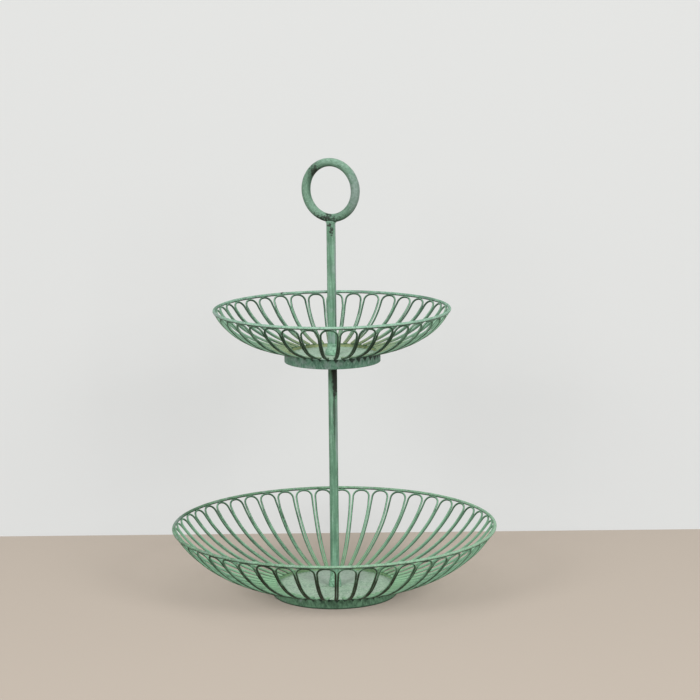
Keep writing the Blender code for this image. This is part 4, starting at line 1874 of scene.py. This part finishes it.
def upper_bowl() -> WireBowl:
    """Describe the upper bowl: its bends, welds and finishes.

    Returns:
        The bowl, ready to be built.
    """
    return WireBowl(
        tier=Tier.UPPER,
        rim_slope=math.radians(62.0),
        foot_slope=math.radians(8.0),
        first_loop_turn=math.radians(7.75),
        rim_weld_turn=math.radians(206.0),
        # The underside is painted darker: painted shade, partly bare steel.
        rim_finish=Patina("upper_rim_patina", Grain.ROUND_THE_HOOP, body=colour(114, 156, 131),
                          deep=colour(74, 110, 88), mint=colour(153, 190, 168), mint_cover=0.57,
                          rub_up=0.01, rub_out=0.02, cool_cover=0.34, dark_below=0.85, under_from=-0.10,
                          under_full=-0.55, crispness=2.4, patch_size=0.6, seed=31.0,
                          hub=(0.0, 0.0, 0.3584), hub_radius=0.1444, marks=(
                              Mark((-0.0647, 0.1291, 0.3604), (0.0028, 0.006, 0.0030), 0.9),
                              Mark((-0.1370, -0.0400, 0.3580), (0.0200, 0.030, 0.0060), 0.5, Layer.COOL),
                              Mark((-0.1420, 0.0150, 0.3590), (0.0060, 0.030, 0.0040), 0.6, Layer.DEEP),
                              Mark((0.1190, 0.0817, 0.3606), (0.0240, 0.018, 0.0022), 0.8, Layer.DEEP),
                              Mark((0.0400, 0.1387, 0.3606), (0.0180, 0.006, 0.0022), 0.7, Layer.DEEP),
                          )),
        # edge colours the painted shade in the crevices; side_dark sets the painted shade on the crests.
        wire_finish=WirePatina("upper_wire_patina", deep=colour(56, 90, 70), mint=colour(137, 178, 150),
                               bare=colour(45, 65, 49), edge=colour(38, 64, 48), edge_from=-0.35,
                               tint=colour(126, 136, 94), mint_cover=0.61, cool_cover=0.28,
                               tint_cover=0.16, dark_from=0.66, crown_light=0.35, foot_tint=0.7,
                               side_dark=0.80, seed=35.0),
        # Wedges: painted shadows of the legs, stronger towards the right.
        band_finish=BandPatina("upper_band_patina", Grain.DOWN_THE_BAND, body=colour(96, 138, 116),
                               deep=colour(66, 102, 84), mint=colour(124, 160, 140), mint_cover=0.38,
                               inside=colour(140, 152, 108), wedge_side=0.7, seed=38.0),
        plate_finish=Patina("upper_plate_patina", body=colour(152, 178, 157), deep=colour(126, 154, 133),
                            mint=colour(168, 195, 173), cool=colour(152, 162, 154),
                            tint=colour(172, 164, 134), cool_cover=0.32, tint_cover=0.22,
                            bare_cover=-0.25, dark_below=0.3, roughness=0.78, seed=43.0),
        seam_finish=Patina("upper_seam_patina", body=colour(146, 162, 118), mint=colour(174, 184, 138),
                           deep=colour(108, 130, 90), bare_cover=0.0, crispness=1.8, seed=45.0),
        seed=7,
        leg_spread=0.70 * MM,
    )


def rod_stand() -> RodStand:
    """Describe the rod and its ring.

    Returns:
        The stand, ready to be built.
    """
    turn = math.radians(-28.0)
    upright = (QUARTER_TURN, 0.0, turn)
    return RodStand(
        ring_turn=turn,
        rod_finish=Patina("upper_rod_patina", Grain.UP_THE_ROD, crispness=0.7, seed=51.0, marks=(
            Mark((0.0002, -0.0056, 0.4560), (0.0030, 0.006, 0.0068), 0.95, raggedness=5.5),
            Mark((-0.0012, -0.0056, 0.4630), (0.0034, 0.006, 0.0030), 0.9, raggedness=7.0),
            Mark((0.0000, -0.0056, 0.3225), (0.0070, 0.006, 0.0080), 0.55, Layer.COOL),
            Mark((0.0056, -0.0020, 0.3950), (0.0020, 0.004, 0.080), 0.8, Layer.COOL),
            Mark((0.0050, -0.0025, 0.3520), (0.0022, 0.005, 0.034), 0.36, raggedness=2.0),
        )),
        lower_rod_finish=Patina("lower_rod_patina", Grain.UP_THE_ROD, cool_cover=0.15, crispness=0.7,
                                seed=54.0, marks=(
            # Painted shadow of the upper bowl on the rod, partly a dark streak in the paint.
            Mark((0.0030, -0.0044, 0.2760), (0.0058, 0.005, 0.036), 1.00, raggedness=1.5),
            Mark((0.0016, -0.0054, 0.2360), (0.0022, 0.004, 0.046), 0.65, raggedness=2.0),
            Mark((0.0044, -0.0040, 0.2050), (0.0022, 0.004, 0.050), 0.7, Layer.COOL, 2.0),
            Mark((0.0012, -0.0056, 0.1800), (0.0012, 0.004, 0.110), 0.6, Layer.DEEP),
        )),
        ferrule_finish=Patina("ferrule_patina", mint=colour(142, 186, 156), mint_cover=0.58,
                              crispness=0.8, seed=57.0),
        ring_finish=Patina("ring_patina", Grain.ROUND_THE_HOOP, body=colour(104, 140, 118),
                           deep=colour(66, 96, 78), mint=colour(146, 180, 158), cool_cover=0.12,
                           mint_cover=0.48, crispness=3.4, patch_size=0.5, patch_share=0.08,
                           hoop_strokes=360.0, hoop_draw=0.30, hub=(0.0, 0.0, 0.5048),
                           hub_turn=upright, hub_radius=0.0340, seed=61.0, marks=(
                               Mark((0.0300, -0.0160, 0.5000), (0.0100, 0.012, 0.0320), 0.6,
                                    Layer.COOL, 7.0),
                               Mark((-0.0186, 0.0060, 0.5270), (0.0070, 0.010, 0.0100), 0.9,
                                    raggedness=9.0),
                               Mark((-0.0244, 0.0096, 0.5120), (0.0030, 0.010, 0.0170), 0.8, Layer.DEEP,
                                    7.0),
                               Mark((-0.0120, 0.0030, 0.4705), (0.0100, 0.010, 0.0045), 0.6,
                                    raggedness=12.0),
                               Mark((-0.0080, -0.0010, 0.4700), (0.0200, 0.014, 0.0054), 0.85,
                                    raggedness=14.0),
                           )),
        weld_finish=Patina("weld_patina", mint_cover=0.40, bare_cover=0.35, seed=64.0),
    )


def main() -> None:
    """Build the tray piece by piece, then the studio round it."""
    logging.basicConfig(level=logging.INFO, format="%(name)s: %(message)s")
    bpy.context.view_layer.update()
    wire, hoop, beads = recipe_for_endless_wire(), recipe_for_hoop(), recipe_for_weld_beads()
    for bowl in (lower_bowl(), upper_bowl()):
        bowl.build(wire, hoop, beads)
    rod_stand().build(hoop, beads)
    Hardware(Zinc("zinc_plate")).build()
    Studio().build()


if __name__ == "__main__":
    main()
